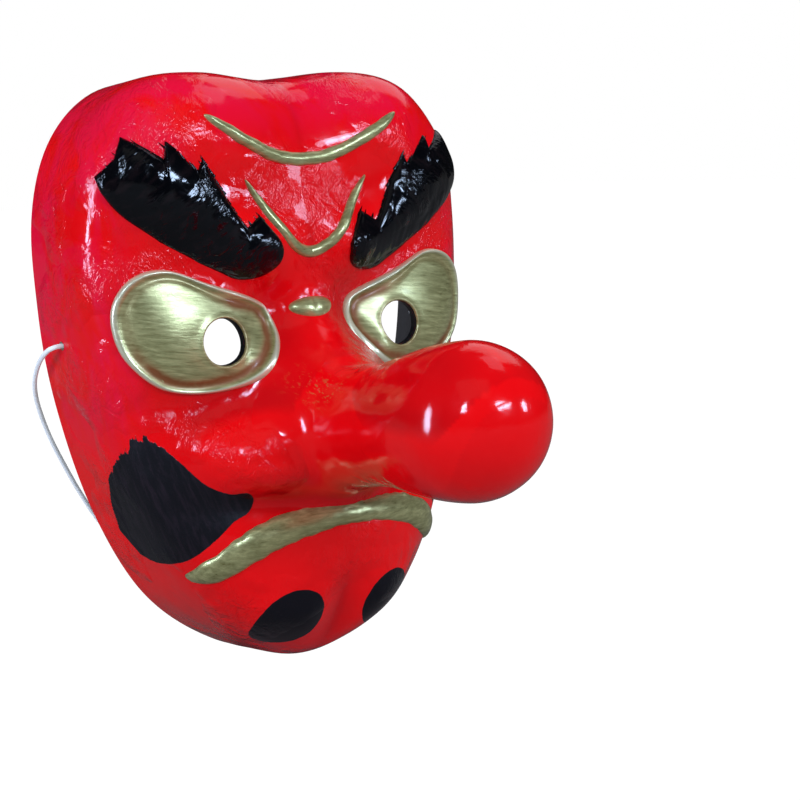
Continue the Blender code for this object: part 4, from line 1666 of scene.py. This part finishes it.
class BrushMarks(Nodes):
    """Short tapered strokes of thick paint, one at each point of a path, standing across it."""

    def __init__(self, name: str, material: bpy.types.Material) -> None:
        """Builds the node tree.

        Args:
            name: The tree's name.
            material: The strokes' material.
        """
        super().__init__(bpy.data.node_groups.new(name, "GeometryNodeTree"))
        self.material = material
        face = self.tree.interface
        face.new_socket("Geometry", in_out="INPUT", socket_type="NodeSocketGeometry")
        self.sizes = {}
        usual = {"Stroke Length": 5 * MM, "Stroke Width": 1.1 * MM, "Stroke Height": 0.5 * MM}
        for key, value in usual.items():
            socket = face.new_socket(key, in_out="INPUT", socket_type="NodeSocketFloat")
            socket.default_value = value
            self.sizes[key] = socket.identifier
        face.new_socket("Geometry", in_out="OUTPUT", socket_type="NodeSocketGeometry")
        self.wire_up()

    def wire_up(self) -> None:
        """Instances a flattened cone at each point, along its stored run and lying on its stored normal."""
        start = self.node("NodeGroupInput").outputs
        ends = {"Radius Top": 0.04, "Radius Bottom": 0.5, "Depth": 1.0}
        sides = {"Vertices": 8, "Side Segments": 3}
        cone = self.node("GeometryNodeMeshCone", {"fill_type": "NGON"}, {**sides, **ends})
        kind, settings = "GeometryNodeInputNamedAttribute", {"data_type": "FLOAT_VECTOR"}
        run, up = (self.node(kind, settings, {"Name": name}).outputs[0] for name in ("run", "up"))
        axes = {"primary_axis": "Z", "secondary_axis": "Y"}
        turn = self.node("FunctionNodeAxesToRotation", axes, {"Primary Axis": run, "Secondary Axis": up})
        vary = self.node("FunctionNodeRandomValue", {"data_type": "FLOAT"}, {2: 0.55, 3: 1.35, "Seed": 5})
        sizes = {0: start["Stroke Length"], 1: vary.outputs[1]}
        length = self.node("ShaderNodeMath", {"operation": "MULTIPLY"}, sizes).outputs[0]
        sizes = {"X": start["Stroke Width"], "Y": start["Stroke Height"], "Z": length}
        size = self.node("ShaderNodeCombineXYZ", None, sizes).outputs[0]
        inputs = {"Points": start["Geometry"], "Instance": cone.outputs["Mesh"]}
        inputs |= {"Rotation": turn.outputs[0], "Scale": size}
        result = self.node("GeometryNodeInstanceOnPoints", None, inputs).outputs[0]
        result = self.node("GeometryNodeRealizeInstances", None, {"Geometry": result}).outputs[0]
        inputs = {"Geometry": result, "Material": self.material}
        result = self.node("GeometryNodeSetMaterial", None, inputs).outputs[0]
        self.node("NodeGroupOutput", None, {"Geometry": result})

    def build(
        self, name: str, points: Array, runs: Array, ups: Array, sizes: dict[str, float]
    ) -> bpy.types.Object:
        """Lays the strokes and returns them as one plain mesh.

        Args:
            name: The piece's name.
            points: Where each stroke begins.
            runs: Which way each stroke goes.
            ups: The surface's normal under each stroke.
            sizes: Stroke Length, Stroke Width and Stroke Height, in metres.

        Returns:
            The object.
        """
        mesh = bpy.data.meshes.new(name)
        mesh.from_pydata(points.tolist(), [], [])
        for key, values in (("run", runs), ("up", ups)):
            layer = mesh.attributes.new(key, "FLOAT_VECTOR", "POINT")
            layer.data.foreach_set("vector", np.asarray(values, np.float32).ravel())
        obj = placed(name, mesh)
        modifier = obj.modifiers.new("brush_marks", "NODES")
        modifier.node_group = self.tree
        for key, value in sizes.items():
            modifier[self.sizes[key]] = value
        bake_modifiers(obj)
        tidy_mesh(obj, 70)
        return obj


@dataclass(frozen=True)
class BrowStrokes:
    """Strokes that leave a brow's upper edge, as the bristles did."""

    brow: Brow
    count: int = 46
    ends: tuple[float, float] = (0.12, 0.96)
    scatter: float = 0.008
    lean: float = 118
    lean_gain: float = 14
    lean_scatter: float = 7
    overlap: float = 2.6 * MM
    reach: float = 4 * MM
    root_lift: float = 0.25 * MM
    tip_lift: float = 0.05 * MM
    length: float = 4.2 * MM
    width: float = 1.3 * MM
    height: float = 0.7 * MM
    seed: int = 11

    def build(self, marks: BrushMarks) -> bpy.types.Object:
        """Lays the strokes.

        Args:
            marks: The node tree that makes them.

        Returns:
            The object.
        """
        brow, rng = self.brow, np.random.default_rng(self.seed)
        _, upper = brow.edges()
        last = len(upper) - 1
        scatter = rng.uniform(-self.scatter, self.scatter, self.count)
        share = np.clip(np.linspace(*self.ends, self.count) + scatter, 0, 1)
        edge = np.stack([np.interp(share * last, range(len(upper)), upper[:, i]) for i in (0, 1)], axis=-1)
        scatter = rng.uniform(-self.lean_scatter, self.lean_scatter, self.count)
        lean = np.pi - np.radians(self.lean + self.lean_gain * share + scatter)
        run = np.stack([np.cos(lean), np.sin(lean)], axis=-1)
        start, side = edge - run * self.overlap, np.array([brow.side.value, 1])
        base = brow.surface.lifted(start * side, self.root_lift)
        runs = brow.surface.lifted((start + run * self.reach) * side, self.tip_lift) - base
        runs /= np.linalg.norm(runs, axis=1, keepdims=True)
        sizes = {"Stroke Length": self.length, "Stroke Width": self.width, "Stroke Height": self.height}
        ups = brow.surface.outward(start * side)
        return marks.build("brow_strokes_" + brow.side.word, base, runs, ups, sizes)


# Studio


@dataclass(frozen=True)
class Window:
    """A soft rectangular light that looks at the mask.

    Its azimuth is from the face's front, towards the mask's right side, and both angles are in degrees.
    """

    name: str
    azimuth: float
    elevation: float
    distance: float
    size: tuple[float, float]
    power: float
    colour: tuple[float, float, float] = (1, 1, 1)

    def build(self, aim: Vector) -> None:
        """Hangs the light."""
        azimuth, elevation = math.radians(self.azimuth), math.radians(self.elevation)
        level = math.cos(elevation)
        away = Vector((math.sin(azimuth) * level, -math.cos(azimuth) * level, math.sin(elevation)))
        light = bpy.data.lights.new(self.name, "AREA")
        light.shape = "RECTANGLE"
        light.size, light.size_y = self.size
        light.energy = self.power
        light.color = self.colour
        obj = placed(self.name, light)
        obj.location = aim + away * self.distance
        obj.rotation_mode = "QUATERNION"
        obj.rotation_quaternion = away.to_track_quat("Z", "Y")


@dataclass(frozen=True)
class Studio:
    """The camera, the windows, the pale surroundings and the floor."""

    lens: float = 71.74
    eye: tuple[float, float, float] = (-0.32513, -0.53303, 0.08756)
    right: tuple[float, float, float] = (0.79327432, -0.60799517, -0.03252268)
    up: tuple[float, float, float] = (0.11875049, 0.10210666, 0.98766014)
    gloss_world: float = 0.012
    soft_world: float = 0.88
    floor_glow: float = 1.3
    floor_bounce: float = 0.34
    floor_share: float = 0.8
    floor_reach: float = 6.0
    floor_gap: float = 0.5 * MM
    floor_colour: Colour = (0.12, 0.12, 0.12)
    windows: tuple[Window, ...] = (
        Window("front_window", 12, 19, 1.5, (0.40, 0.12), 7, (0.55, 0.72, 1.0)),
        Window("front_window_top", 6, 27, 1.5, (0.28, 0.08), 3, (0.55, 0.72, 1.0)),
        Window("side_front_window", 42, 13, 1.6, (0.16, 0.22), 4, (0.55, 0.72, 1.0)),
        Window("half_left_window", -49, 27, 1.5, (0.10, 0.28), 5.5, (0.55, 0.72, 1.0)),
        Window("left_window", -99, 9, 1.3, (0.16, 0.50), 8.5, (0.55, 0.70, 1.0)),
        Window("overhead_light", 84, 62, 1.4, (0.6, 0.4), 0.8, (0.80, 0.85, 1.0)),
        Window("soft_fill", -30, 55, 2.2, (1.6, 1.2), 1.2, (1.0, 0.97, 0.95)),
        Window("back_light", 118, 42, 1.6, (1.0, 0.8), 2.2, (0.95, 0.95, 1.0)),
    )

    def build_camera(self) -> None:
        """Sets the camera."""
        data = bpy.data.cameras.new("camera")
        data.lens = self.lens
        data.sensor_width = 36
        data.clip_start = 0.01
        obj = placed("camera", data)
        right, up = Vector(self.right).normalized(), Vector(self.up)
        back = right.cross(up).normalized()
        up = back.cross(right)
        turn = Matrix((right, up, back)).transposed().to_4x4()
        obj.matrix_world = Matrix.Translation(self.eye) @ turn
        bpy.context.scene.camera = obj

    def build_surroundings(self) -> None:
        """Sets surroundings that are white behind the mask, soft on the paint and dim in the gloss."""
        world = bpy.data.worlds.new("studio")
        bpy.context.scene.world = world
        world.use_nodes = True
        nodes = Nodes(world.node_tree)
        ray = nodes.node("ShaderNodeLightPath").outputs
        result = nodes.tree.nodes["Background"]
        result.inputs["Color"].default_value = (1, 1, 1, 1)
        result.inputs["Strength"].default_value = self.gloss_world
        for kind, strength in (("Is Diffuse Ray", self.soft_world), ("Is Camera Ray", 1.0)):
            inputs = {"Color": (1, 1, 1, 1), "Strength": strength}
            other = nodes.node("ShaderNodeBackground", None, inputs)
            inputs = {0: ray[kind], 1: result.outputs[0], 2: other.outputs[0]}
            result = nodes.node("ShaderNodeMixShader", None, inputs)
        nodes.feed(nodes.tree.nodes["World Output"].inputs["Surface"], result.outputs[0])
        view = bpy.context.scene.view_settings
        view.view_transform = "Standard"
        view.look = "None"

    def build_floor(self, level: float) -> None:
        """Lays a plain pale floor just under the mask, dim in the gloss."""
        mesh = bpy.data.meshes.new("floor")
        signs = ((-1, -1), (1, -1), (1, 1), (-1, 1))
        corners = [(x * self.floor_reach, y * self.floor_reach, level) for x, y in signs]
        mesh.from_pydata(corners, [], [(0, 1, 2, 3)])
        graph = Graph("pale_floor")
        roughness = 0.8 + graph.noise(30, 3) * 0.1
        mesh.materials.append(graph.dress(self.floor_colour, roughness, Specular_IOR_Level=0.0))
        glow = graph.node("ShaderNodeEmission", None, {"Color": (1, 1, 1, 1), "Strength": self.floor_glow})
        ray = graph.node("ShaderNodeLightPath").outputs
        seen, lit = Wire(graph, ray["Is Camera Ray"]), Wire(graph, ray["Is Diffuse Ray"])
        seen = seen * self.floor_share + lit * self.floor_bounce
        output = graph.tree.nodes["Material Output"]
        inputs = {0: seen, 1: graph.shader.outputs[0], 2: glow.outputs[0]}
        graph.feed(output.inputs["Surface"], graph.node("ShaderNodeMixShader", None, inputs).outputs[0])
        placed("floor", mesh)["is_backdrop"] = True

    def build(self, low: Vector, high: Vector) -> None:
        """Builds the whole studio round the mask's box."""
        self.build_camera()
        aim = (low + high) / 2
        for window in self.windows:
            window.build(aim)
        self.build_surroundings()
        self.build_floor(low.z - self.floor_gap)


# The whole mask


def settle(piece: bpy.types.Object, slot: Slot, *nodes: str) -> None:
    """Puts a finished piece on the mask.

    Args:
        piece: The piece.
        slot: The record's material slot for the piece; not used.
        nodes: The CAD solids that it stands for.
    """
    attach(piece, "mask")
    if nodes:
        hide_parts(*nodes)
    LOG.info("%s, %d faces", piece.name, len(piece.data.polygons))


def build_raised_pieces(surface: FaceSurface) -> None:
    """Builds the brows, the eyes, the gold lines and the bead."""
    gilt_across = GiltPaint().material("gilt_eye", (90, 300, 900), (0, -8, 0))
    gilt_lines = GiltPaint().material("gilt_line", (120, 400, 700), (0, 0, 0))
    edge = HoleEdge().material("eye_edge")
    for side in Side:
        brow = Brow(surface, side)
        black = BlackGloss().material("black_brow_" + side.word, 52 * side.value)
        settle(brow.build(black), Slot.BLACK, "brow_" + side.word)
        marks = BrushMarks("brush_marks_" + side.word, black)
        settle(BrowStrokes(brow).build(marks), Slot.BLACK)
        settle(GiltEye(surface, side).build(gilt_across, edge), Slot.GOLD, "eye_" + side.word)
    lines = (
        GiltLine(
            surface, "gilt_forehead_line",
            ((0.0, 0.383), (0.14, 0.389), (0.30, 0.413), (0.42, 0.437), (0.495, 0.454)),
            (2.4, 2.4, 2.3, 2.0, 0.8), 1.5 * MM,
        ),
        GiltLine(
            surface, "gilt_brow_line",
            ((0.0, 0.236), (0.085, 0.247), (0.16, 0.275), (0.235, 0.313), (0.315, 0.355)),
            (2.2, 2.1, 1.9, 1.8, 0.7), 1.5 * MM,
        ),
        GiltLine(
            surface, "gilt_mouth",
            ((0.0, -0.179), (0.14, -0.181), (0.30, -0.190), (0.47, -0.217), (0.63, -0.270)),
            (3.9, 4.4, 5.2, 5.6, 4.4), 2.0 * MM,
        ),
    )  # fmt: skip
    for line, node in zip(lines, ("forehead_line_upper", "forehead_line_lower", "mouth_line")):
        settle(line.build(gilt_lines), Slot.GOLD, node)
    settle(BridgeBead(surface).build(gilt_lines), Slot.GOLD, "bridge_bead")


def main() -> None:
    """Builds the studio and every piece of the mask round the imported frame."""
    logging.basicConfig(level=logging.INFO, format="%(message)s")
    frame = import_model()
    cad_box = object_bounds()
    Studio().build(*cad_box)
    HeadCord().build(WhiteElastic().material("white_elastic"))

    surface = FaceSurface()
    head = LacqueredHead(surface)
    paper = TrimmedPaper().material("trimmed_paper")
    inside = InsidePaint().material("inside_paint")
    head.build(RedLacquer().material("red_lacquer"), inside, paper)
    settle(head.face, Slot.LACQUER, "face_shell")
    settle(head.nose, Slot.LACQUER, "nose_upper_half", "nose_lower_half")
    band = frame["nodes"]["nose_joint_band"]
    band.data.materials.clear()
    band.data.materials.append(inside)
    build_raised_pieces(surface)


if __name__ == "__main__":
    main()
